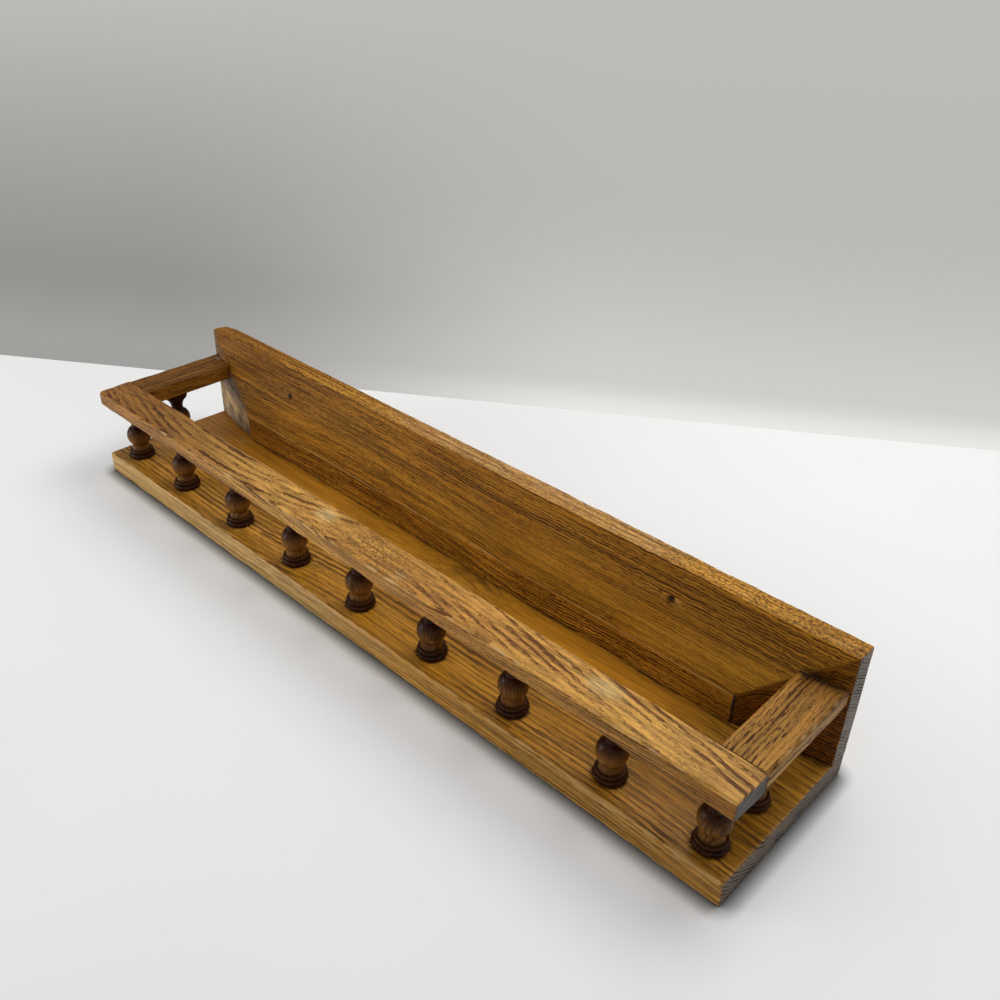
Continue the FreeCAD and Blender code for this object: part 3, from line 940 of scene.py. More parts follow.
@dataclass(frozen=True)
class WoodFinish:
    """Varnished wood: its colours, its figure and its gloss. Lengths in millimetres."""

    name: str
    summer: str  # pale growth
    honey: str  # the tone that drifts through the pale growth
    spring: str  # the porous start of each ring
    pore: str
    stain_and_shade: str  # what deep dyeing and painted shade multiply the colour by
    end: str  # cut across
    end_dark: str  # the porous part of a ring, cut across
    worn: str
    # the next two: dirt and painted shade, then pale bleach and painted light
    grime_and_shade: str
    bleach_and_light: str
    amber: str  # thick varnish, where it hides the figure; on the tray also a painted golden reflection
    ring_width: float
    ring_wander: float = 1.6
    ring_strength: float = 0.7
    ring_hold: float = 0.2
    dash_length: float = 7.0
    dash_width: float = 0.6
    dash_strength: float = 0.68
    fibre_low: float = 0.8
    fibre_high: float = 1.18
    streak_low: float = 0.72
    streak_high: float = 1.2
    roughness: float = 0.45
    shine: float = 0.14
    coat: float = 0.05
    coat_roughness: float = 0.25
    relief: float = 0.25

    def build(self, groups: Groups) -> Material:
        """Make the material.

        Args:
            groups: the shared shader groups.

        Returns:
            The material.
        """
        material, graph, shader = new_material(self.name)
        grain = graph.attribute("grain").outputs["Vector"]
        figure = graph.node("ShaderNodeGroup", node_tree=groups.figure)
        for label, value in (("Grain", grain), ("Ring Width", self.ring_width * MM),
                             ("Ring Wander", self.ring_wander),
                             ("Ring Hold", self.ring_hold),
                             ("Dash Length", self.dash_length * MM),
                             ("Dash Width", self.dash_width * MM),
                             ("Speckle", graph.attribute("speckle").outputs["Fac"])):
            graph.feed(figure.inputs[label], value)
        clarity = graph.attribute("clarity").outputs["Fac"]
        ring = graph.times(figure.outputs["Ring"], clarity)
        dash = graph.times(figure.outputs["Dash"], clarity)
        cut = graph.attribute("end_grain_and_sheen").outputs["Fac"]
        streaks = self.streaks(graph, figure, clarity)
        colour = self.colour(graph, figure, clarity, ring, dash, streaks)
        end_tone = graph.mix(graph.maths("MAXIMUM", ring, graph.times(dash, 0.7)),
                             shade(self.end), shade(self.end_dark))
        colour = graph.mix(cut, colour, end_tone)

        handling_and_light = graph.node("ShaderNodeGroup", node_tree=groups.handling_and_light)
        for label, value in (("Colour", colour), ("Grain", grain),
                             ("Care and Light", graph.attribute("care_and_light").outputs["Vector"]),
                             ("Worn Colour", shade(self.worn)),
                             ("Grime and Shade Colour", shade(self.grime_and_shade)),
                             ("Bleach and Light Colour", graph.tint(shade(self.bleach_and_light), streaks))):
            graph.feed(handling_and_light.inputs[label], value)

        dull = graph.times(handling_and_light.outputs["Dullness"], 0.25)
        rough = graph.maths("ADD", graph.maths("ADD", dull, graph.times(dash, 0.15)),
                            graph.maths("ADD", graph.times(cut, 0.25), self.roughness))
        coat = graph.times(graph.less(1.0, graph.maths("MAXIMUM", cut, dull)), self.coat)
        height = graph.less(graph.times(figure.outputs["Fibre"], 0.5), dash)
        height = graph.less(height, graph.times(ring, 0.3))
        for label, value in (("Base Color", handling_and_light.outputs["Colour"]), ("Roughness", rough),
                             ("Coat Weight", coat), ("Coat Roughness", self.coat_roughness),
                             ("Specular IOR Level", self.shine),
                             ("Normal", graph.bump(height, self.relief, 0.25 * MM))):
            graph.feed(shader.inputs[label], value)
        return material

    def streaks(self, graph: Graph, figure: Node, clarity: Socket) -> Socket:
        """Light and dark along the fibre, faint where the figure is hidden.

        Args:
            graph: the material's graph.
            figure: the node of the figure's group.
            clarity: how plainly the figure shows.

        Returns:
            What a colour is multiplied by.
        """
        fine = graph.step(figure.outputs["Fibre"], 0.28, 0.72, self.fibre_low, self.fibre_high)
        broad = graph.step(figure.outputs["Streak"], 0.3, 0.66, self.streak_low,
                           self.streak_high)
        return graph.mix(graph.maths("MAXIMUM", clarity, 0.55), WHITE,
                         graph.times(fine, broad))

    def colour(self, graph: Graph, figure: Node, clarity: Socket, ring: Socket,
               dash: Socket, streaks: Socket) -> Socket:
        """Colour of the wood along the fibre, dyed and darkened by painted shade, before it ages.

        Args:
            graph: the material's graph.
            figure: the node of the figure's group.
            clarity: how plainly the figure shows.
            ring, dash: the rings and pores, as plainly as they show.
            streaks: light and dark along the fibre.

        Returns:
            The colour.
        """
        colour = graph.mix(graph.step(figure.outputs["Tone"], 0.34, 0.66), shade(self.summer),
                           shade(self.honey))
        colour = graph.mix(graph.times(ring, self.ring_strength), colour, shade(self.spring))
        colour = graph.mix(graph.less(1.0, clarity), colour, shade(self.amber))
        colour = graph.tint(colour, streaks)
        colour = graph.mix(graph.times(dash, self.dash_strength), colour, shade(self.pore))
        # deep dye, and painted shade, multiply the colour where the mask says
        return graph.mix(graph.attribute("stain_and_shade").outputs["Fac"], colour,
                         graph.tint(colour, shade(self.stain_and_shade)))


@dataclass(frozen=True)
class ZincFinish:
    """Dulled zinc plate on the screws."""

    name: str = "dulled_zinc"
    bright: str = "b9b7b0"
    dulled: str = "7d7a74"
    roughness: float = 0.38

    def build(self) -> Material:
        """Make the material: patches of bright and dulled zinc with fine scratches.

        Returns:
            The material.
        """
        material, graph, shader = new_material(self.name)
        place = graph.node("ShaderNodeTexCoord").outputs["Object"]
        patches = graph.step(graph.noise(place, scale=700, detail=3), 0.4, 0.62)
        scratches = graph.noise(graph.stretch(place, (9000, 900, 900)))
        for label, value in (
                ("Base Color", graph.mix(patches, shade(self.bright), shade(self.dulled))),
                ("Metallic", 1.0),
                ("Roughness", graph.step(scratches, 0.3, 0.7, self.roughness - 0.08,
                                         self.roughness + 0.2)),
                ("Normal", graph.bump(scratches, 0.15, 0.05 * MM))):
            graph.feed(shader.inputs[label], value)
        return material


@dataclass(frozen=True)
class BeechFinish:
    """Plain beech of the dowels, unfinished."""

    name: str = "plain_beech"
    body: str = "d3ae82"
    fleck: str = "a87a4c"

    def build(self) -> Material:
        """Make the material: short ray flecks along the dowels, which run front to back.

        Returns:
            The material.
        """
        material, graph, shader = new_material(self.name)
        place = graph.node("ShaderNodeTexCoord").outputs["Object"]
        flecks = graph.step(graph.noise(graph.stretch(place, (1900, 240, 1900))), 0.55, 0.7)
        fibre = graph.noise(graph.stretch(place, (3500, 60, 3500)), detail=3)
        colour = graph.mix(flecks, shade(self.body), shade(self.fleck))
        for label, value in (
                ("Base Color", graph.tint(colour, graph.step(fibre, 0.25, 0.75, 0.85, 1.1))),
                ("Roughness", graph.step(fibre, 0.2, 0.8, 0.6, 0.8)),
                ("Normal", graph.bump(fibre, 0.3, 0.1 * MM))):
            graph.feed(shader.inputs[label], value)
        return material


BACK_OAK = WoodFinish(
    name="golden_back_oak", summer="ba842a", honey="a66e1a", spring="784814", pore="54300a",
    stain_and_shade="a8967c", end="8a8078", end_dark="34302c", worn="c4944e", grime_and_shade="24150a",
    bleach_and_light="dab884", amber="c8922f", ring_width=2.0, ring_wander=2.0, ring_hold=0.3,
    dash_length=3.8, dash_width=0.5, dash_strength=0.9, fibre_low=0.74, fibre_high=1.25,
    streak_low=0.52, streak_high=1.42, shine=0.09, coat=0.02)
SHELF_OAK = WoodFinish(
    name="golden_shelf_oak", summer="bc8630", honey="b07a1e", spring="784a12", pore="50300c",
    stain_and_shade="a8967c", end="776a5d", end_dark="292421", worn="c79b5c", grime_and_shade="24150a",
    bleach_and_light="ceae76", amber="d49228", ring_width=2.6, ring_wander=1.0, ring_strength=0.45,
    ring_hold=0.3, dash_length=9.0, dash_width=0.38, dash_strength=0.8, fibre_low=0.76,
    fibre_high=1.23, streak_low=0.58, streak_high=1.32, roughness=0.36, coat=0.1)
RAIL_OAK = WoodFinish(
    name="worn_rail_oak", summer="d29f4c", honey="c28b40", spring="8e5624", pore="5e3412",
    stain_and_shade="a8967c", end="6c6864", end_dark="3a3430", worn="d2ad7c", grime_and_shade="2c1a0c",
    bleach_and_light="ccb076", amber="c8924c", ring_width=2.1, ring_wander=1.0, ring_strength=0.55,
    ring_hold=0.52, dash_length=3.0, dash_width=0.5, dash_strength=0.9, fibre_low=0.74,
    fibre_high=1.24, streak_low=0.58, streak_high=1.32)
SIDE_OAK = WoodFinish(
    name="side_rail_oak", summer="c4923e", honey="b4803a", spring="74441a", pore="4a280e",
    stain_and_shade="a8967c", end="63605e", end_dark="38322e", worn="c0a070", grime_and_shade="20130b",
    bleach_and_light="b9a686", amber="b8862c", ring_width=3.2, ring_wander=0.7, ring_strength=0.6,
    ring_hold=0.22, dash_length=4.4, dash_width=0.46, dash_strength=0.95, streak_low=0.6,
    streak_high=1.26, shine=0.09, coat=0.02)
TURNED_WOOD = WoodFinish(
    name="turned_dark_wood", summer="885a20", honey="6c4418", spring="402608", pore="1c1004",
    stain_and_shade="72543a", end="4b3725", end_dark="2a1c10", worn="946c3c", grime_and_shade="160d07",
    bleach_and_light="8a7558", amber="6a4818", ring_width=2.2, ring_strength=0.6, dash_length=3.0,
    dash_width=0.4, dash_strength=0.5, streak_low=0.85, streak_high=1.1, roughness=0.34,
    shine=0.08, coat_roughness=0.12, relief=0.12)


# ---- the rack's pieces


def node_box(name: str) -> tuple[Array, Array]:
    """Lowest and highest corner of a CAD node, in metres."""
    low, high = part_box(name)
    return np.array(low, float), np.array(high, float)


def nearest_arris(points: Array, low: Array, high: Array) -> Array:
    """Distance of a box's surface points from its nearest arris.

    Formula: of a point's three distances to the box's faces, the smallest is to its own face,
    and the next is to the nearest arris.

    Args:
        points: places on the box.
        low, high: the box's corners.

    Returns:
        One distance per point.
    """
    to_faces = np.minimum(points - low, high - points)
    return np.sort(to_faces, axis=1)[:, 1]


@dataclass
class Spindle:
    """One turned spindle, drawn again from its own node's box."""

    node: str
    seed: int
    foot_tenon: float = 10 * MM
    head_tenon: float = 8 * MM
    tenon: float = 4.5 * MM
    disc: float = 11 * MM
    disc_height: float = 4 * MM
    bead: float = 10.1 * MM
    bead_height: float = 3 * MM
    fillet: float = 8 * MM
    fillet_height: float = 1.3 * MM
    round_over: float = 0.7 * MM
    ball: float = 10.3 * MM
    ball_level: float = 20.4 * MM
    lower_neck: float = 6.8 * MM
    upper_neck: float = 5.2 * MM
    cove: float = 6 * MM
    throat: float = 13 * MM
    chamfer: float = 0.3 * MM  # at the tenons' ends
    seam: float = 0.02 * MM  # between a tenon and its seat
    wear: float = 0.22 * MM  # how far the corners are worn
    sample: float = 0.3 * MM
    wobble: float = 0.004  # share of the radius
    segments: int = 72

    def __post_init__(self) -> None:
        """Find the axis, the seat and the height between seats in the node's box."""
        self.low, self.high = node_box(self.node)
        self.axis = (self.low[:2] + self.high[:2]) / 2
        self.seat = self.low[2] + self.foot_tenon
        self.height = self.high[2] - self.head_tenon - self.seat

    def half_rings(self) -> Array:
        """Profile of the disc, the bead and the fillet, from the seat inwards.

        Returns:
            Rows of radius and height.
        """
        def bulge(height: float) -> float:
            """Radius of the arc that stands round_over off a chord of this height."""
            return (height ** 2 / 4 + self.round_over ** 2) / (2 * self.round_over)

        disc, bead = self.disc - self.round_over, self.bead - self.round_over
        top = self.disc_height + self.bead_height
        return np.concatenate([
            arc((disc, 0), (disc, self.disc_height), bulge(self.disc_height)),
            arc((bead, self.disc_height), (bead, top), bulge(self.bead_height)),
            [[self.fillet, top], [self.fillet, top + self.fillet_height]]])

    def profile(self) -> Array:
        """Whole profile from tenon to tenon, heights from the seat.

        Formula: straight runs and arcs in the order of the turning: foot tenon, rings, cove,
        ball, throat, the rings again upside down, and head tenon.

        Returns:
            Rows of radius and height.
        """
        foot = self.half_rings()
        head = foot[::-1] * np.array([1, -1]) + np.array([0, self.height])
        low = self.ball_level - np.sqrt(self.ball ** 2 - self.lower_neck ** 2)
        high = self.ball_level + np.sqrt(self.ball ** 2 - self.upper_neck ** 2)
        middle = np.concatenate([
            arc(tuple(foot[-1]), (self.lower_neck, low), -self.cove),
            arc((self.lower_neck, low), (self.upper_neck, high), self.ball, 40),
            arc((self.upper_neck, high), tuple(head[0]), -self.throat, 20)])
        return np.concatenate([foot, middle, head])

    def build(self, material: Material) -> Object:
        """Turn the spindle and dress it.

        Args:
            material: the turned wood's finish.

        Returns:
            The piece.
        """
        worn = soften(self.profile(), self.wear, self.sample)
        worn[:, 0] *= 1 - self.wobble * (1 + wander(worn[:, 1], 1.6 * MM, self.seed)) / 2
        foot, head = -self.foot_tenon, self.height + self.head_tenon
        tip = self.tenon - self.chamfer
        below = [[0, foot], [tip, foot], [self.tenon, foot + self.chamfer],
                 [self.tenon, -self.seam]]
        above = [[self.tenon, self.height + self.seam], [self.tenon, head - self.chamfer],
                 [tip, head], [0, head]]
        points, faces = lathe_shell(np.concatenate([below, worn, above]), self.segments)
        piece = new_piece(f"turned_{self.node}", points + [*self.axis, self.seat], faces)
        self.figure(points).store(piece)
        return finish_piece(piece, material, Slot.TURNED, self.node)

    def figure(self, points: Array) -> Figure:
        """Fibre runs up the spindle, and each comes from its own part of the log.

        Args:
            points: places from the middle of the seat.

        Returns:
            The fibre, with dirt at both seats and in the cove, painted shade under the rail from
            the ball up, a darker foot, and wear on the ball.
        """
        chance = np.random.default_rng(self.seed)
        pith = chance.uniform(0.012, 0.03) * np.array([np.cos(self.seed), np.sin(self.seed)])
        grain = log_coordinates(points[:, 2] + self.seed * 0.37, points[:, 0], points[:, 1],
                                (pith[0], pith[1]))
        radius = np.hypot(points[:, 0], points[:, 1])
        height = points[:, 2]
        low = self.ball_level - self.ball * 0.75
        # dirt at both seats and in the cove; the last term is painted shade under the rail
        grime_and_shade = (0.75 * bell(height, 0.9 * MM) + 0.55 * bell(height - self.disc_height, 0.5 * MM)
                 + 0.5 * bell(height - low, 1.6 * MM)
                 + 0.6 * bell(height - self.height, 1.5 * MM))
        worn = 0.5 * bell(height - self.ball_level + 3 * MM, 3 * MM) * (
            1 + ripple(points, 9 * MM, self.seed)) / 2
        worn += 0.3 * bell(radius - self.disc, 0.3 * MM) * (height < self.height / 2)
        care_and_light = np.column_stack([worn, grime_and_shade, np.zeros(len(points))])
        # painted shade under the rail from the ball up; the foot is darker too
        stain_and_shade = np.maximum(ease_in(height, self.ball_level - 2 * MM, self.ball_level + 8 * MM),
                           0.95 * (1 - ease_in(height, 6 * MM, 11 * MM)))
        return Figure(grain, care_and_light, stain_and_shade)


def mortise_cutters(spindles: list[Spindle], level: float, start: float,
                    end: float) -> list[Shell]:
    """Cutters of the holes that take the spindles' tenons.

    Args:
        spindles: what the holes take.
        level: height of the bored face, in metres.
        start, end: the hole's ends, measured up from that face.

    Returns:
        One shell per spindle.
    """
    return [turned_cutter(drill(JOINTS.mortise, start, end), (*spindle.axis, level),
                          Bore.UPRIGHT) for spindle in spindles]


def dowel_cutter(x: float, y: float, level: float, start: float, end: float) -> Shell:
    """Cutter of one dowel hole, whose ends are measured back from y."""
    return turned_cutter(drill(JOINTS.dowel, start, end), (x, y, level), Bore.FRONT_TO_BACK)


def half_reach(value: Array, low: float, high: float) -> Array:
    """Distance from the nearer of two ends."""
    return np.minimum(value - low, high - value)


def soft_larger(first: Array, second: Array, softness: float) -> Array:
    """The larger of two numbers, with a hyperbola in place of the corner between them."""
    return (first + second + np.sqrt((first - second) ** 2 + softness ** 2)) / 2


@dataclass
class ShelfBoard:
    """The flat board under everything, with mortises above and countersinks below."""

    arris: float = 1.1 * MM
    mortise_depth: float = 10.5 * MM
    screw_xs: tuple[float, ...] = (-240 * MM, -80 * MM, 80 * MM, 240 * MM)
    screw_line: float = 53 * MM
    countersink: float = 4.35 * MM
    sunk: float = 0.4 * MM
    cone: float = 2.6 * MM
    shank: float = 2.4 * MM
    ring_pith: Pair = (0.187, 0.362)

    def __post_init__(self) -> None:
        """Take the box from the node."""
        self.low, self.high = node_box("shelf_board")

    def blank(self) -> Shell:
        """The board before it is bored.

        Formula: a box whose arrises are rounded by a radius that wanders along the board and
        grows at the front corners.

        Returns:
            Points and faces.
        """
        low, high = self.low, self.high
        points, faces = box_shell(box_rows(
            low, high, ((3, 0.35, 2.6), (2.5, 0.35, 2.6), (2, 0.35, 2.4))))
        front = ease_in(-points[:, 1], -0.02, 0.04)
        top = ease_in(points[:, 2], low[2] + 6 * MM, high[2] - 6 * MM)
        wear = 1 + 0.3 * ripple(points, 26 * MM, 11) + 0.18 * ripple(points, 7 * MM, 12)
        ends = bell(half_reach(points[:, 0], low[0], high[0]), 7 * MM)
        radius = self.arris * (0.55 + 0.35 * front + 0.25 * top) * wear + 0.9 * MM * ends * front
        radius = np.clip(radius, 0.3 * MM, 3 * MM)
        eased = ease_arrises(points, low, high, np.repeat(radius[:, None], 3, axis=1))
        return eased, faces

    def cutters(self, spindles: list[Spindle]) -> list[Shell]:
        """Mortises under the spindles, and the countersunk screw holes.

        Args:
            spindles: what stands on the board.

        Returns:
            One shell per hole.
        """
        below, above = -JOINTS.clearance, self.high[2] + JOINTS.clearance
        screw = np.array([[0, below], [self.countersink, below], [self.countersink, self.sunk],
                          [self.shank, self.sunk + self.cone], [self.shank, above],
                          [0, above]])
        cuts = mortise_cutters(spindles, self.high[2], -self.mortise_depth, JOINTS.clearance)
        cuts += [turned_cutter(screw, (x, self.screw_line, 0), Bore.UPRIGHT)
                 for x in self.screw_xs]
        return cuts

    def figure(self, points: Array, normals: Array, spindles: list[Spindle],
               back: "BackBoard") -> Figure:
        """Plain-sawn growth that falls away to the back.

        The distance from the pith is moved by slow waves along the board, by a swell a little
        right of the middle where the saw went through a rise, and by the lean of the log.

        Args:
            points, normals: the board's surface.
            spindles: what stands on it.
            back: the board that stands along its back.

        Returns:
            The fibre, the wear, the dirt, and painted light and shade.
        """
        x, y, z = points.T
        grain = log_coordinates(x, y, z, self.ring_pith)
        # millimetres from here to where MM turns them into metres
        sway = 2.4 * np.sin(x / 0.093 + 0.6) + 1.5 * np.sin(x / 0.041 + 2) + 0.018 * x / MM
        swell = 9 * bell(x - 0.035, 0.05) * ease_in(y, -0.03, 0.04)
        grain[:, 1] += (sway + swell) * MM
        arris = nearest_arris(points, self.low, self.high)
        front_arris = bell(np.hypot(y - self.low[1], z - self.high[2]), 2.6 * MM)
        broken = (1 + ripple(points, 15 * MM, 13)) / 2
        worn = 0.75 * bell(arris, 1.0 * MM) * broken + 0.75 * front_arris * (0.5 + broken / 2)
        worn *= 1 - 0.9 * ease_in(x, self.high[0] - 4 * MM, self.high[0] - MM)
        worn *= ease_in(z, 2 * MM, 6 * MM)
        on_top = z > self.high[2] - 0.6 * MM
        foot = np.abs(y - back.front_at(x, np.full_like(x, self.high[2])))
        grime_and_shade = 0.5 * bell(foot, 1.2 * MM) * on_top
        grime_and_shade += 0.3 * bell(foot, 7 * MM) * on_top * (0.5 + 0.5 * wander(x, 0.09, 14))
        axes = np.array([s.axis for s in spindles])
        away = np.linalg.norm(points[:, None, :2] - axes[None], axis=2).min(axis=1)
        grime_and_shade += 0.9 * bell(np.maximum(away - 10.8 * MM, 0), 1.1 * MM) * on_top
        grime_and_shade += 0.75 * spot(points, (24, 29, 18), (9, 5, 4)) * (0.6 + 0.5 * broken)
        grime_and_shade += 0.5 * spot(points, (52, 33, 18), (18, 4, 4))
        front = y < self.low[1] + 0.6 * MM
        # the front face pale from bleach, and paler to the left as painted light; on the tray a
        # painted glare at the left end and painted light right of the middle
        bleach_and_light = front * (0.38 + 0.29 * ease_in(-x, -0.1, 0.07))
        bleach_and_light += 0.5 * spot(points, (-262, 30, 18), (8, 8, 4))
        bleach_and_light += 0.3 * spot(points, (175, 36, 18), (60, 5, 4))
        care_and_light = np.column_stack([worn, grime_and_shade, bleach_and_light])
        end = ease_in(np.abs(normals[:, 0]), 0.45, 0.9)
        # painted shade darkens the board towards the right, off the tray; it is darker at the
        # left end too, except on the front face, and on the tray's left end
        stain_and_shade = (0.3 * ease_in(x, 0.05, 0.32) + 0.2 * ease_in(-x, 0.15, 0.3) * ~front) * (
            1 - on_top * ease_in(y, -0.01, 0.02))
        stain_and_shade += 0.5 * on_top * ease_in(y, -0.01, 0.02) * ease_in(-x, 0.15, 0.27)
        # on the tray, except its right end, thick varnish and a painted golden reflection hide
        # the figure, less so a little right of the middle
        varnish_and_reflection = on_top * ease_in(y, -0.03, 0.0) * (1 - 0.9 * ease_in(x, 0.21, 0.27))
        clarity = 1 - varnish_and_reflection * (0.8 - 0.45 * bell(x - 0.03, 0.04) + 0.15 * wander(x, 0.1, 15))
        clarity -= 0.5 * spot(points, (40, -62, 18), (75, 16, 4))
        return Figure(grain, care_and_light, stain_and_shade, end_grain_and_sheen=end, clarity=clarity)

    def build(self, material: Material, spindles: list[Spindle], back: "BackBoard") -> Object:
        """Make, bore and dress the board.

        Args:
            material: its finish.
            spindles: what stands on it.
            back: the board along its back.

        Returns:
            The piece.
        """
        piece = new_piece("oak_shelf_board", *self.blank())
        carve(piece, self.cutters(spindles))
        self.figure(places_of(piece), normals_of(piece), spindles, back).store(piece)
        return finish_piece(piece, material, Slot.BOARD, "shelf_board")


HOLE_SPLINTERS = ((1, (208, 48, 81), (5, 12, 1.6)), (1, (197, 48, 78), (3.4, 12, 1.4)))


@dataclass
class BackBoard:
    """The raised panel: thick below, bevelled away along its top and both ends."""

    edge: float = 16 * MM
    rise: float = 14 * MM
    field_height: float = 23.5 * MM
    field_inset: float = 65.5 * MM
    end_step: float = 1.3 * MM
    top_step: float = 0.5 * MM
    arris: float = 1.1 * MM
    hole: float = 2.5 * MM
    hole_xs: Pair = (-203.2 * MM, 203.2 * MM)
    hole_level: float = 79.2 * MM
    pilot_depth: float = 32.9 * MM
    pilot: float = 2.4 * MM
    dowel_level: float = 72.6 * MM
    ring_pith: Pair = (-0.20, -0.33)

    def __post_init__(self) -> None:
        """Take the box from the node."""
        self.low, self.high = node_box("back_board")

    def thickness_at(self, x: Array, z: Array) -> Array:
        """Thickness of the panel.

        Formula: full thickness less the rise times the larger of two slopes, the one up from
        the field's upper arris and the one out from its nearer end. The larger is taken softly,
        with a hyperbola in place of the corner, which wears the field's arris round. A shallow
        step follows the field's edge and runs out on the slopes.

        Args:
            x, z: places on the panel.

        Returns:
            The thickness there, in metres.
        """
        top = (z - self.low[2] - self.field_height) / (
            self.high[2] - self.low[2] - self.field_height)
        end = (self.field_inset - half_reach(x, self.low[0], self.high[0])) / self.field_inset
        larger = soft_larger(soft_larger(top, end, 0.012), 0 * top, 0.02)
        past_end = self.field_inset - half_reach(x, self.low[0], self.high[0])
        past_top = z - self.low[2] - self.field_height
        step = self.end_step * ease_in(past_end, 0, 0.9 * MM) * bell(past_end, 14 * MM) * (
            1 - ease_in(past_top, -0.6 * MM, 1.2 * MM))
        step = np.maximum(step, self.top_step * ease_in(past_top, 0, 0.9 * MM) * bell(
            past_top, 8 * MM) * (1 - ease_in(past_end, -0.6 * MM, 0.6 * MM)))
        return self.edge + self.rise * (1 - np.clip(larger, 0, 1)) - step

    def front_at(self, x: Array, z: Array) -> Array:
        """Y of the panel's front surface."""
        return self.high[1] - self.thickness_at(x, z)

    def blank(self) -> Shell:
        """The panel before it is bored.

        Formula: a box with worn arrises, whose depth at each x and z is scaled to the panel's
        thickness there. Its upper rear corner at the left is knocked round.

        Returns:
            Points and faces.
        """
        low, high = self.low, self.high
        field_ends = (low[0] + self.field_inset, high[0] - self.field_inset)
        points, faces = box_shell(box_rows(
            low, high, ((3, 0.4, 2.8), (3, 0.5, 4), (3, 0.35, 2.4)),
            (field_ends, (), (low[2] + self.field_height,))))
        upper = ease_in(points[:, 2], low[2] + 0.03, high[2] - 0.02)
        wear = 1 + 0.35 * ripple(points, 30 * MM, 21) + 0.2 * ripple(points, 6 * MM, 22)
        radius = np.clip(self.arris * (0.5 + 0.5 * upper) * wear, 0.3 * MM, 2.5 * MM)
        depth_scale = (high[1] - low[1]) / self.edge
        corner = spot(points, (-327.5, 68, 103.5), (9, 14, 9))
        radius = radius + 5.5 * MM * corner + 1.2 * MM * spot(
            points, (-327.5, 38, 103.5), (6, 14, 6))
        radii = np.column_stack([radius, radius * (1 + (depth_scale - 1) * upper), radius])
        eased = ease_arrises(points, low, high, radii)
        thickness = self.thickness_at(eased[:, 0], eased[:, 2])
        eased[:, 1] = high[1] - (high[1] - eased[:, 1]) * thickness / (high[1] - low[1])
        return eased, faces

    def front_point(self, x: float, z: float) -> float:
        """Y of the panel's front surface at one place."""
        return self.front_at(np.array([x]), np.array([z]))[0]

    def wall_hole(self, x: float, chipping: float, upwards: float, seed: int) -> Shell:
        """Cutter of one wall hole, with a chipped mouth.

        Formula: the mouth is the plain one times 1 plus a ripple round it that dies away
        within about two millimetres of the surface.

        Args:
            x: the hole's place, in metres.
            chipping: how strong the ripple is.
            upwards: how much of it runs up and down. Four tenths of it run sideways.
            seed: picks the ripple.

        Returns:
            Points and faces.
        """
        depth = np.array([-2.5, 0, 0.5, 1.0, 1.8, 3, 8, 30]) * MM
        profile = np.column_stack([np.full(depth.size, self.hole), depth])
        profile = np.concatenate([[[0, depth[0]]], profile, [[0, depth[-1]]]])
        points, faces = lathe_shell(profile, 48)
        around = np.arctan2(points[:, 1], points[:, 0])
        chip = chipping * (1 + wander(np.cos(around) * 2, 2.1, seed))
        chip *= bell(np.maximum(points[:, 2], 0), 1.6 * MM)
        points[:, 1] *= 1 + chip * upwards
        points[:, 0] *= 1 + chip * 0.4
        front = self.front_point(x, self.hole_level)
        return laid_back(points) + np.array([x, front, self.hole_level]), faces

    def cutters(self) -> list[Shell]:
        """Wall holes, of which the right one is chipped most, screw pilots and dowel holes.

        Returns:
            One shell per hole.
        """
        cuts = [self.wall_hole(*hole) for hole in zip(
            self.hole_xs, (0.16, 0.46), (1.0, 1.7), (31, 32))]
        middle = (self.low[1] + self.high[1]) / 2
        pilot = drill(self.pilot, -JOINTS.clearance, self.pilot_depth)
        cuts += [turned_cutter(pilot, (x, middle, self.low[2]), Bore.UPRIGHT)
                 for x in ShelfBoard.screw_xs]
        cuts += [dowel_cutter(x, self.front_point(x, self.dowel_level), self.dowel_level,
                              -JOINTS.slant_clearance, JOINTS.dowel_depth)
                 for x in (-JOINTS.dowel_x, JOINTS.dowel_x)]
        return cuts

    def figure(self, points: Array, normals: Array) -> Figure:
        """Close, nearly straight growth that slopes a little along the board.

        Args:
            points, normals: the panel's surface.

        Returns:
            The fibre, with worn arrises, dirt and painted shade in the corners, and painted light
            and shade on the bevels and the crown.
        """
        x, y, z = points.T
        grain = log_coordinates(x, y, z, self.ring_pith)
        low_down = 1 - ease_in(z, self.low[2] + 0.02, self.low[2] + 0.07)
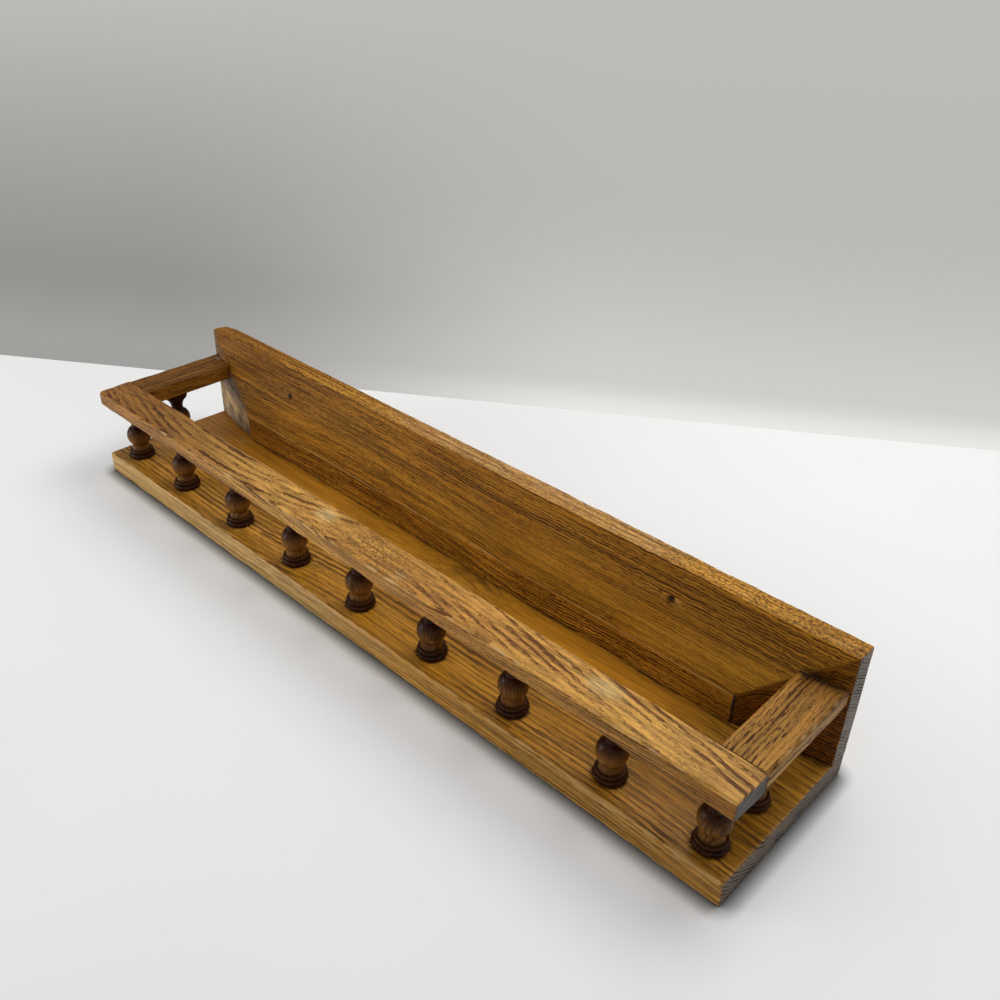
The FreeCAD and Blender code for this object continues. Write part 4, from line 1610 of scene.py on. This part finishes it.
        # millimetres from here to where MM turns them into metres
        sway = 0.012 * x / MM + 1.2 * np.sin(x / 0.12 + 1) + 0.5 * np.sin(x / 0.045)
        sway += 0.35 * wander(x + z, 0.026, 25) + 0.2 * wander(x - 0.5 * z, 0.011, 26)
        swell = 4.5 * np.sin(x / 0.062 - 0.4) * low_down * ease_in(-x, -0.24, -0.05)
        half = half_reach(x, self.low[0], self.high[0])
        beyond = np.maximum(self.field_inset - half, 0)
        climb = (z - self.low[2] - self.field_height) / (
            self.high[2] - self.low[2] - self.field_height)
        sloped = (normals[:, 1] < -0.5) * ease_in(beyond, 0, 1 * MM) * ease_in(
            beyond / self.field_inset - climb, -0.02, 0.02)
        nested = -26 * (1 - np.exp(-beyond / (20 * MM))) * sloped  # the bevelled ends' arches
        grain[:, 1] += (sway + swell + nested) * MM
        broken = (1 + ripple(points, 12 * MM, 23)) / 2
        slope = self.front_at(x, z)
        behind = np.minimum(y - slope, self.high[1] - y)
        sides = np.column_stack([x - self.low[0], self.high[0] - x, self.high[2] - z])
        arris = np.sort(np.column_stack([behind, sides]), axis=1)[:, 1]
        worn = 0.6 * bell(arris, 0.9 * MM) * (0.35 + 0.65 * broken)
        front = normals[:, 1] < -0.5
        inside = ease_in(half - self.field_inset, -3 * MM, 2 * MM)
        below = ease_in(self.low[2] + self.field_height - z, -3 * MM, 2 * MM)
        field_line = np.abs(z - self.low[2] - self.field_height + 0.3 * MM
                            + 0.3 * MM * wander(x, 0.07, 24))
        worn += bell(field_line, 0.7 * MM) * inside * front * (0.75 + 0.2 * broken)
        grime_and_shade = 0.6 * bell(z - self.low[2], 0.9 * MM) * (np.abs(y - slope) < 2 * MM)
        # painted shade darker towards the foot; along the field's end step, dirt and painted
        # shade
        grime_and_shade += 0.2 * bell(z - self.low[2], 6 * MM) * front * (0.5 + 0.5 * broken)
        grime_and_shade += 0.8 * bell(half - self.field_inset + 0.7 * MM, 0.9 * MM) * below * front * (
            0.5 + 0.8 * broken)
        for hole_x, strength in zip(self.hole_xs, (0.7, 0.9)):
            away = np.hypot(x - hole_x, z - self.hole_level)
            grime_and_shade += strength * bell(np.maximum(away - self.hole, 0), 0.9 * MM) * front
        # painted shade where the right rail meets the bevel; darker also where the left rail
        # meets it
        grime_and_shade += 0.9 * spot(points, (311, 45, 80), (17, 12, 3)) * (0.3 + 0.8 * broken)
        grime_and_shade += 0.5 * spot(points, (303, 45, 84), (22, 12, 6)) * (0.2 + broken)
        grime_and_shade += 0.35 * spot(points, (-300, 45, 84), (14, 12, 5))
        # painted light: a pale sheen low on the left bevel
        bleach_and_light = 0.62 * sloped * (x < 0) * bell(z - 0.036, 0.026) * (0.7 + 0.5 * broken)
        bleach_and_light += 0.75 * spot(points, (-311, 45, 80.5), (9, 12, 1.6))
        chipped = marks_at(points, HOLE_SPLINTERS)
        # painted light: the crown paler towards the right
        bleach_and_light += (0.46 - 0.16 * ease_in(x, 0.17, 0.22)) * ease_in(
            normals[:, 2], 0.6, 0.9) * ease_in(x, -0.25, 0.0)
        care_and_light = np.column_stack([np.maximum(worn, 0.8 * chipped), grime_and_shade, bleach_and_light])
        end = ease_in(np.abs(normals[:, 0]), 0.5, 0.9)
        # painted sheen: the left bevel greyed like end grain, more so low down
        end = np.maximum(end, sloped * (x < 0) * (0.25 + 0.55 * ease_in(-z, -0.085, -0.055)))
        crown = ease_in(normals[:, 2], 0.6, 0.9)
        # painted shade: the right bevel dark all over, the crown darker to the left and a little
        # left of the middle
        stain_and_shade = sloped * (x > 0) + crown * (
            0.55 * ease_in(-x, 0.16, 0.34) + 0.2 * bell(x + 0.08, 0.08))
        # the front darker towards both ends and high on the bevel; painted shade on the field low
        # down, away from the middle
        stain_and_shade += (1 - crown) * (0.3 * ease_in(-x, 0.08, 0.26) + 0.12 * ease_in(x, 0.1, 0.26)
                                + 0.4 * ease_in(z, 0.055, 0.085)
                                + 0.12 * (1 - ease_in(z, 0.036, 0.042))
                                * (1 - bell(x + 0.03, 0.07)))
        clarity = 1 + (0.5 - 0.35 * bell(x + 0.04, 0.08)) * front * below * inside
        clarity += 0.7 * sloped + 0.15 * crown * (x > 0)
        clarity -= 0.42 * front * ease_in(x, -0.06, 0.1) * bell(z - 0.058, 0.02) * (
            1 - sloped)
        return Figure(grain, care_and_light, stain_and_shade, end, 0.75 * crown, clarity)

    def build(self, material: Material) -> Object:
        """Make, bore and dress the panel.

        Args:
            material: its finish.

        Returns:
            The piece.
        """
        piece = new_piece("oak_back_board", *self.blank())
        carve(piece, self.cutters())
        self.figure(places_of(piece), normals_of(piece)).store(piece)
        return finish_piece(piece, material, Slot.BOARD, "back_board")


RAIL_DIVES = ((0.8, (30, -52, 79), (50, 18, 30)), (0.5, (292, -62, 79), (16, 8, 12)))
RAIL_BLEACHED = ((0.95, (-30, -49, 79), (13, 8, 12)), (0.85, (224, -48, 79), (17, 9, 12)),
                 (0.5, (62, -60, 79), (12, 8, 12)), (0.3, (262, -56, 79), (20, 9, 12)))


@dataclass
class FrontRail:
    """The long rail over the front row."""

    outer_round: float = 3 * MM
    inner_round: float = 0.8 * MM
    lean: float = np.radians(20)  # of the rings from the rail's top

    def __post_init__(self) -> None:
        """Take the box from the node."""
        self.low, self.high = node_box("front_rail")

    def blank(self) -> Shell:
        """The rail before it is bored.

        Formula: a box rounded more along its outer arrises than along its inner ones. The
        lower outer one is worn further back near the rail's middle, where hands lift it.

        Returns:
            Points and faces.
        """
        low, high = self.low, self.high
        points, faces = box_shell(box_rows(
            low, high, ((4, 0.4, 2.2), (3.5, 0.4, 1.8), (3, 0.4, 1.6))))
        middle = (low + high) / 2
        outer = ease_in(middle[1] - points[:, 1], -4 * MM, 4 * MM)
        lower = ease_in(middle[2] - points[:, 2], -2 * MM, 2 * MM)
        wear = 1 + 0.2 * ripple(points, 34 * MM, 41) + 0.1 * ripple(points, 8 * MM, 42)
        radius = self.inner_round + (self.outer_round - self.inner_round) * outer
        radius = radius + 2.2 * MM * outer * lower * bell(points[:, 0] + 0.02, 0.2)
        radius = np.clip(radius * wear, 0.5 * MM, 6 * MM)
        radii = np.column_stack([np.minimum(radius, 1.6 * MM), radius, radius])
        return ease_arrises(points, low, high, radii), faces

    def cutters(self, spindles: list[Spindle]) -> list[Shell]:
        """Mortises over the front row, and the dowel holes behind its ends.

        Args:
            spindles: the front row.

        Returns:
            One shell per hole.
        """
        level = (self.low[2] + self.high[2]) / 2
        cuts = mortise_cutters(spindles, self.low[2], -JOINTS.clearance,
                               JOINTS.rail_mortise_depth)
        cuts += [dowel_cutter(x, self.high[1], level, -JOINTS.dowel_depth, JOINTS.clearance)
                 for x in (-JOINTS.dowel_x, JOINTS.dowel_x)]
        return cuts

    def figure(self, points: Array, normals: Array) -> Figure:
        """Wild growth along the rail's top.

        The rings lie nearly flat, so that a small slope of the fibre draws a broad figure on the
        top and fine straight lines on the front. Left of the middle the figure hangs in a bow,
        right of it it runs off in slants, and between them the fibres dive and show as dots.

        Args:
            points, normals: the rail's surface.

        Returns:
            The fibre, with two pale patches of bleach, worn arrises, and painted shade that
            darkens the top to the left and the face to the right.
        """
        x, y, z = points.T
        line = np.linspace(self.low[0], self.high[0], 1305)
        right = ease_in(line, -0.017, 0.08)
        slope = (1 - right) * 2.3 * (line + 0.16) - 0.2 * right
        bow = np.interp(x, line, np.cumsum(slope) * (line[1] - line[0]))
        steep, flat = np.cos(self.lean), np.sin(self.lean)
        grain = np.column_stack([x, 0.3 + flat * (bow - y) + steep * z,
                                 steep * y + flat * z])
        dive = np.clip(marks_at(points, RAIL_DIVES), 0, 1)
        broken = (1 + ripple(points, 14 * MM, 44)) / 2
        outer = bell(np.hypot(y - self.low[1], z - self.high[2]) - 1.2 * MM, 0.8 * MM)
        arris = nearest_arris(points, self.low, self.high)
        worn = 0.5 * outer * (0.3 + 0.7 * broken) + 0.4 * bell(arris, 0.9 * MM) * broken
        worn *= 1 - 0.7 * ease_in(-x, 0.2, 0.27)
        face = y < self.low[1] + 0.6 * MM
        bleach_and_light = marks_at(points, RAIL_BLEACHED)
        bleach_and_light += (0.12 + 0.2 * bell(x, 0.08)) * face
        grime_and_shade = 0.5 * bell(y - self.high[1], 0.6 * MM) * (
            half_reach(x, self.low[0], self.high[0]) < 31 * MM)
        grime_and_shade += 0.35 * spot(points, (-300, -47, 79), (12, 6, 12))
        care_and_light = np.column_stack([worn, grime_and_shade, bleach_and_light])
        end = ease_in(np.abs(normals[:, 0]), 0.5, 0.92)
        # painted shade: off the face darker to the left, on the face darker to the right; the
        # face's left end and the rail's right end darker too, and stain near the middle and along
        # the face
        stain_and_shade = 0.85 * ease_in(-x, 0.0, 0.26) * ~face + 0.35 * ease_in(x, 0.25, 0.32)
        stain_and_shade += 0.3 * bell(x - 0.03, 0.06) * ~face + face * (
            0.28 + 0.37 * ease_in(x, 0.0, 0.3) + 0.3 * ease_in(-x, 0.06, 0.25))
        return Figure(grain, care_and_light, stain_and_shade, end, dive)

    def build(self, material: Material, spindles: list[Spindle]) -> Object:
        """Make, bore and dress the rail.

        Args:
            material: its finish.
            spindles: the front row.

        Returns:
            The piece.
        """
        piece = new_piece("oak_front_rail", *self.blank())
        carve(piece, self.cutters(spindles))
        self.figure(places_of(piece), normals_of(piece)).store(piece)
        return finish_piece(piece, material, Slot.RAIL, "front_rail")


@dataclass
class SideRail:
    """A short rail from the front rail back to the panel's bevelled end."""

    side: str
    outwards: int
    seed: int
    outer_round: float = 3 * MM
    inner_round: float = 1.1 * MM

    def __post_init__(self) -> None:
        """Take the box from the node."""
        self.node = f"{self.side}_side_rail"
        self.low, self.high = node_box(self.node)

    def blank(self, back: BackBoard) -> Shell:
        """The rail before it is bored.

        Formula: a box rounded more along its outer arrises. Its length at each x and z is then
        scaled, so that its rear end meets the panel's bevel.

        Args:
            back: the panel.

        Returns:
            Points and faces.
        """
        low, high = self.low, self.high
        points, faces = box_shell(box_rows(
            low, high, ((3.5, 0.4, 1.8), (3, 0.3, 2), (3, 0.4, 1.6))))
        middle = (low + high) / 2
        outer = ease_in((points[:, 0] - middle[0]) * self.outwards, -4 * MM, 4 * MM)
        wear = 1 + 0.2 * ripple(points, 30 * MM, self.seed)
        radius = (self.inner_round + (self.outer_round - self.inner_round) * outer) * wear
        radius = np.clip(radius, 0.5 * MM, 4 * MM)
        radii = np.column_stack([radius, np.full(len(points), 0.3 * MM), radius])
        eased = ease_arrises(points, low, high, radii)
        rear = back.front_at(eased[:, 0], eased[:, 2])
        share = (eased[:, 1] - low[1]) / (high[1] - low[1])
        eased[:, 1] = low[1] + share * (rear - low[1])
        return eased, faces

    def cutters(self, spindle: Spindle, back: BackBoard) -> list[Shell]:
        """One mortise below, and a dowel hole in each end.

        Args:
            spindle: what the rail stands on.
            back: the panel that it meets.

        Returns:
            One shell per hole.
        """
        level = (self.low[2] + self.high[2]) / 2
        x = JOINTS.dowel_x * self.outwards
        rear = back.front_point(x, level)
        cuts = mortise_cutters([spindle], self.low[2], -JOINTS.clearance,
                               JOINTS.rail_mortise_depth)
        cuts += [dowel_cutter(x, self.low[1], level, -JOINTS.clearance, JOINTS.dowel_depth),
                 dowel_cutter(x, rear, level, -JOINTS.dowel_depth, JOINTS.slant_clearance)]
        return cuts

    def figure(self, points: Array, normals: Array, back: BackBoard) -> Figure:
        """Straight growth from front to back, with broad dark streaks.

        Args:
            points, normals: the rail's surface.
            back: the panel that it meets.

        Returns:
            The fibre, dark at its rear end, and on the right rail painted shade along the top
            there.
        """
        x, y, z = points.T
        grain = log_coordinates(y + self.seed, x, z, (0, 0))
        lean = 0.03 * y / MM + 0.4 * wander(y, 0.08, self.seed + 1)
        grain[:, 1] = x * self.outwards + 0.3 * z + lean * MM + self.seed * 0.01
        broken = (1 + ripple(points, 12 * MM, self.seed + 2)) / 2
        outer_x = self.high[0] if self.outwards > 0 else self.low[0]
        outer = bell(np.hypot(x - outer_x, z - self.high[2]) - 1.2 * MM, 0.8 * MM)
        arris = nearest_arris(points, self.low, self.high)
        worn = 0.5 * outer * (0.3 + 0.7 * broken) + 0.3 * bell(arris, 0.8 * MM) * broken
        bleach_and_light = 0.2 * ease_in((x - outer_x) * self.outwards, -0.8 * MM, 0)
        from_back = back.front_at(x, z) - y
        grime_and_shade = 0.5 * bell(y - self.low[1], 0.6 * MM) + 0.6 * bell(from_back, MM)
        if self.outwards > 0:
            # painted shade on the right rail's top where it meets the panel
            grime_and_shade += 0.95 * bell(from_back, 7 * MM) * (0.35 + 0.75 * broken) * ease_in(
                z, self.high[2] - 2 * MM, self.high[2])
        else:
            bleach_and_light += 0.6 * spot(points, (-314, 46, 80), (6, 4, 3))
        care_and_light = np.column_stack([worn, grime_and_shade, bleach_and_light])
        end = ease_in(np.abs(normals[:, 1]), 0.6, 0.95)
        stain_and_shade = 0.45 if self.outwards > 0 else 0.95
        return Figure(grain, care_and_light, stain_and_shade, end_grain_and_sheen=end)

    def build(self, material: Material, spindle: Spindle, back: BackBoard) -> Object:
        """Make, bore and dress the rail.

        Args:
            material: its finish.
            spindle: the one that it stands on.
            back: the panel that it meets.

        Returns:
            The piece.
        """
        piece = new_piece(f"oak_{self.node}", *self.blank(back))
        carve(piece, self.cutters(spindle, back))
        self.figure(places_of(piece), normals_of(piece), back).store(piece)
        return finish_piece(piece, material, Slot.RAIL, self.node)


@dataclass
class Gallery:
    """The three rails and the eleven spindles that carry them."""

    front_count: int = 9
    spindles: list[Spindle] = field(default_factory=list)

    def __post_init__(self) -> None:
        """Find the spindles: the front row first, and then the two at the sides."""
        names = [f"spindle_front_{index}" for index in range(1, self.front_count + 1)]
        names += ["spindle_left_side", "spindle_right_side"]
        self.spindles = [Spindle(name, seed) for seed, name in enumerate(names, start=1)]

    def build(self, groups: Groups, back: BackBoard) -> list[Object]:
        """Make the rails and the spindles.

        Args:
            groups: the shared shader groups.
            back: the panel that the side rails meet.

        Returns:
            The pieces.
        """
        turned = TURNED_WOOD.build(groups)
        made = [spindle.build(turned) for spindle in self.spindles]
        front_row = self.spindles[:self.front_count]
        made.append(FrontRail().build(RAIL_OAK.build(groups), front_row))
        side_oak = SIDE_OAK.build(groups)
        for side, outwards, seed, spindle in (("left", -1, 51, self.spindles[-2]),
                                              ("right", 1, 61, self.spindles[-1])):
            made.append(SideRail(side, outwards, seed).build(side_oak, spindle, back))
        return made


@dataclass
class Fixings:
    """The dowels and screws, whose CAD shapes are right and only need their finish."""

    dowels: str = "rail_dowels"
    screws: str = "shelf_screws"

    def dress(self, nodes: dict[str, Object]) -> None:
        """Give both nodes their finish.

        Args:
            nodes: the frame's objects by name.
        """
        for name, material in ((self.dowels, BeechFinish().build()),
                               (self.screws, ZincFinish().build())):
            nodes[name].data.materials.clear()
            nodes[name].data.materials.append(material)
            LOG.info("%s: dressed", name)


# ---- the studio


@dataclass(frozen=True)
class CameraStation:
    """Where the picture was taken from. Metres, radians and pixels of the picture."""

    place: Triple = (0.47083, -0.40705, 0.47642)
    turn: float = 0.74699
    tilt: float = -0.56206
    roll: float = 0.02805
    focal: float = 1004.63

    def build(self) -> Object:
        """Put up the camera.

        Formula: the way ahead is the Y axis turned left about Z and then tilted, and the
        picture's two sides are then rolled about it.

        Returns:
            The camera.
        """
        cos, sin = np.cos, np.sin
        ahead = Vector((-sin(self.turn) * cos(self.tilt), cos(self.turn) * cos(self.tilt),
                        sin(self.tilt)))
        level = Vector((cos(self.turn), sin(self.turn), 0))
        upright = level.cross(ahead)
        right = level * cos(self.roll) + upright * sin(self.roll)
        top = upright * cos(self.roll) - level * sin(self.roll)
        data = bpy.data.cameras.new("station")
        data.sensor_width = SENSOR
        data.lens = self.focal * SENSOR / PICTURE
        data.clip_start, data.clip_end = 0.01, 50
        camera = bpy.data.objects.new("station", data)
        bpy.context.scene.collection.objects.link(camera)
        camera.matrix_world = Matrix((
            (right[0], top[0], -ahead[0], self.place[0]),
            (right[1], top[1], -ahead[1], self.place[1]),
            (right[2], top[2], -ahead[2], self.place[2]),
            (0, 0, 0, 1)))
        bpy.context.scene.camera = camera
        return camera


@dataclass(frozen=True)
class Lamp:
    """A square soft box that looks at a target. Metres, watts and linear colour."""

    name: str
    place: Triple
    target: Triple
    size: float
    power: float
    colour: Triple

    def build(self) -> Object:
        """Hang the lamp.

        Returns:
            The lamp.
        """
        data = bpy.data.lights.new(self.name, "AREA")
        data.shape = "SQUARE"
        data.size = self.size
        data.energy = self.power
        data.color = self.colour
        lamp = bpy.data.objects.new(self.name, data)
        bpy.context.scene.collection.objects.link(lamp)
        lamp.location = self.place
        lamp.rotation_mode = "QUATERNION"
        ahead = Vector(self.target) - Vector(self.place)
        lamp.rotation_quaternion = ahead.to_track_quat("-Z", "Y")
        return lamp


LAMPS = (
    Lamp("overhead", (0.25, 0.6, 1.1), (0.0, 0.05, 0.05), 0.7, 6.7, (1.0, 0.99, 0.97)),
    Lamp("left_fill", (-0.8, -0.8, 0.3), (-0.15, 0.0, 0.05), 0.4, 3.5, (1.0, 0.98, 0.95)))


def new_sheet(name: str, corners: Array, finish: str) -> tuple[Object, Graph]:
    """Flat sheet whose finish is still to be laid out.

    Args:
        name: the sheet's name.
        corners: its four corners, in metres.
        finish: the name of its finish.

    Returns:
        The sheet and its finish's graph.
    """
    sheet = new_piece(name, corners, [np.array([[0, 1, 2, 3]])])
    material = bpy.data.materials.new(finish)
    material.use_nodes = True
    material.node_tree.nodes.clear()
    sheet.data.materials.append(material)
    return sheet, Graph(material.node_tree)


@dataclass
class Studio:
    """Pale floor, pale backdrop, soft light. Metres."""

    floor_reach: float = 4.0
    floor_gap: float = 0.2 * MM
    wall_start: Pair = (-0.518, 0.054)
    wall_way: Pair = (0.827, 0.562)
    wall_height: float = 3.0
    wall_shade: str = "fffdf8"
    floor_shade: str = "f5f6f6"
    floor_seen: str = "ffffff"
    even_share: float = 0.12  # of the floor's picture that no shadow darkens
    nook_reach: float = 12 * MM  # how far from the rack shade is painted into the floor's crease
    nook_depth: float = 2.8
    passing: float = 1.5 * MM  # shorter rays pass the floor, to light the underside
    world_level: float = 0.54
    world_seen: float = 0.85
    flag_middle: Triple = (0.82, -0.5, 0.28)
    flag_way: Triple = (0.55, 0.835, 0)
    flag_half: Pair = (0.42, 0.273)  # half its length and half its height
    flag_shade: str = "3a3632"

    @staticmethod
    def seen(graph: Graph) -> Socket:
        """Tell what the camera sees from what only lights the scene.

        Args:
            graph: where it is laid out.

        Returns:
            1 for what is seen straight or in gloss or glass.
        """
        rays = graph.node("ShaderNodeLightPath").outputs
        turned = graph.maths("MAXIMUM", rays["Is Glossy Ray"], rays["Is Transmission Ray"])
        return graph.maths("MAXIMUM", rays["Is Camera Ray"], turned)

    @staticmethod
    def hang(graph: Graph, surface: Socket, hidden: Socket) -> None:
        """Put a surface on a sheet that is clear in places.

        Args:
            graph: the sheet's graph.
            surface: the shader.
            hidden: 1 where the sheet is clear.
        """
        clear = graph.node("ShaderNodeBsdfTransparent")
        mixed = graph.fed("ShaderNodeMixShader", hidden, surface, clear.outputs[0])
        graph.feed(graph.node("ShaderNodeOutputMaterial").inputs["Surface"], mixed.outputs[0])

    def floor(self) -> Object:
        """Flat sheet just under the rack, with shade painted into its crease along the rack.

        It shows from above only. A ray that starts out from the rack's underside passes it,
        so that the underside isn't black in a view from below.

        Returns:
            The sheet.
        """
        reach = self.floor_reach
        points = np.array([[-reach, -reach, 0], [reach, -reach, 0], [reach, reach, 0],
                           [-reach, reach, 0]]) - [0, 0, self.floor_gap]
        sheet, graph = new_sheet("studio_floor", points, "pale_floor")
        place = graph.node("ShaderNodeTexCoord").outputs["Object"]
        cloud_and_shade = graph.step(graph.noise(place, scale=3.0), 0.3, 0.7, 0.98, 1.01)
        nook = graph.node("ShaderNodeAmbientOcclusion", samples=8)
        graph.feed(nook.inputs["Distance"], self.nook_reach)
        # painted shade: the floor's colour darkens where the rack is near
        cloud_and_shade = graph.times(cloud_and_shade, graph.maths("POWER", nook.outputs["AO"], self.nook_depth))
        matt = graph.node("ShaderNodeBsdfDiffuse")
        graph.feed(matt.inputs["Color"], graph.tint(shade(self.floor_shade), cloud_and_shade))
        even = graph.node("ShaderNodeEmission")
        graph.feed(even.inputs["Color"], graph.tint(shade(self.floor_seen), cloud_and_shade))
        shown = graph.fed("ShaderNodeMixShader", graph.times(self.seen(graph), self.even_share),
                          matt.outputs[0], even.outputs[0])
        rays = graph.node("ShaderNodeLightPath").outputs
        bounced = graph.maths("MAXIMUM", rays["Is Diffuse Ray"], rays["Is Glossy Ray"])
        near = graph.times(bounced, graph.maths("LESS_THAN", rays["Ray Length"], self.passing))
        from_below = graph.node("ShaderNodeNewGeometry").outputs["Backfacing"]
        self.hang(graph, shown.outputs[0], graph.maths("MAXIMUM", near, from_below))
        return sheet

    def backdrop(self) -> Object:
        """Upright sheet behind the rack, seen from its front only.

        Its tone is a sum: an even grey, a rise with height, a pale band of painted light along
        the foot that turns to painted shade to the left, and a dim cloud of painted shade over
        that band's left end.

        Returns:
            The sheet.
        """
        start = np.array([*self.wall_start, -self.floor_gap])
        way = np.array([*self.wall_way, 0]) / np.hypot(*self.wall_way)
        up = np.array([0, 0, self.wall_height])
        points = np.stack([start - 3 * way, start + 4 * way, start + 4 * way + up,
                           start - 3 * way + up])
        sheet, graph = new_sheet("studio_backdrop", points, "pale_backdrop")
        sheet.visible_diffuse = False
        sheet.visible_shadow = False
        x, y, z = graph.parts(graph.node("ShaderNodeTexCoord").outputs["Object"])
        along = graph.maths("ADD", graph.times(x, way[0]), graph.times(y, way[1]))
        left = graph.step(along, start @ way + 0.04, start @ way + 0.54, 1.0, 0.0)
        # painted light along the foot, turning to painted shade on the left
        foot = graph.times(graph.step(z, 0.0, 0.24, 0.1, 0.0),
                           graph.less(1.0, graph.times(left, 1.9)))
        foot = graph.maths("ADD", foot, graph.times(graph.step(z, 0.0, 0.04, 0.1, 0.0),
                                                    graph.less(1.0, left)))
        # painted shade over the left end of the foot
        cloud_and_shade = graph.times(graph.times(left, graph.step(z, 0.02, 0.12)),
                            graph.step(z, 0.17, 0.43, 0.093, -0.016))
        rise = graph.step(z, 0.0, 1.2, 0.715, 0.805)
        tone = graph.maths("POWER", graph.less(graph.maths("ADD", rise, foot), cloud_and_shade),
                           DISPLAY_GAMMA)
        glow = graph.node("ShaderNodeEmission")
        graph.feed(glow.inputs["Color"], graph.tint(tone, shade(self.wall_shade)))
        behind = graph.node("ShaderNodeNewGeometry").outputs["Backfacing"]
        self.hang(graph, glow.outputs[0], behind)
        return sheet

    def flag(self) -> Object:
        """Dark card by the camera, out of its sight, which shades the rack's near end.

        Returns:
            The card.
        """
        middle = np.array(self.flag_middle)
        side = self.flag_half[0] * np.array(self.flag_way)
        up = np.array([0, 0, self.flag_half[1]])
        points = np.stack([middle - side - up, middle + side - up, middle + side + up,
                           middle - side + up])
        card, graph = new_sheet("studio_flag", points, "dark_card")
        card.visible_camera = False
        card.visible_glossy = False
        matt = graph.fed("ShaderNodeBsdfDiffuse", shade(self.flag_shade))
        graph.feed(graph.node("ShaderNodeOutputMaterial").inputs["Surface"], matt.outputs[0])
        return card

    def world(self) -> None:
        """Even pale surroundings."""
        world = bpy.data.worlds.new("surroundings")
        world.use_nodes = True
        ground = next(n for n in world.node_tree.nodes if n.type == "BACKGROUND")
        graph = Graph(world.node_tree)
        graph.feed(ground.inputs["Color"], (1.0, 0.995, 0.985, 1.0))
        graph.feed(ground.inputs["Strength"], graph.step(
            self.seen(graph), 0.0, 1.0, self.world_level, self.world_seen))
        bpy.context.scene.world = world

    def build(self) -> None:
        """Lay the floor, hang the backdrop, and set the lights."""
        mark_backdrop(self.floor(), self.backdrop(), self.flag())
        self.world()
        for lamp in LAMPS:
            lamp.build()


def corners() -> list[list[float]]:
    """The whole object's lowest and highest corner, as plain lists."""
    return [[float(value) for value in corner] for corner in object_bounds()]


def main() -> None:
    """Build the studio and every piece, and report each."""
    logging.basicConfig(level=logging.INFO, format="%(name)s: %(message)s")
    bpy.context.scene.view_settings.view_transform = "Standard"
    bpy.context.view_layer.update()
    CameraStation().build()
    Studio().build()
    groups = Groups()
    back = BackBoard()
    gallery = Gallery()
    back.build(BACK_OAK.build(groups))
    ShelfBoard().build(SHELF_OAK.build(groups), gallery.spindles, back)
    gallery.build(groups, back)
    Fixings().dress(frame["nodes"])


if __name__ == "__main__":
    main()
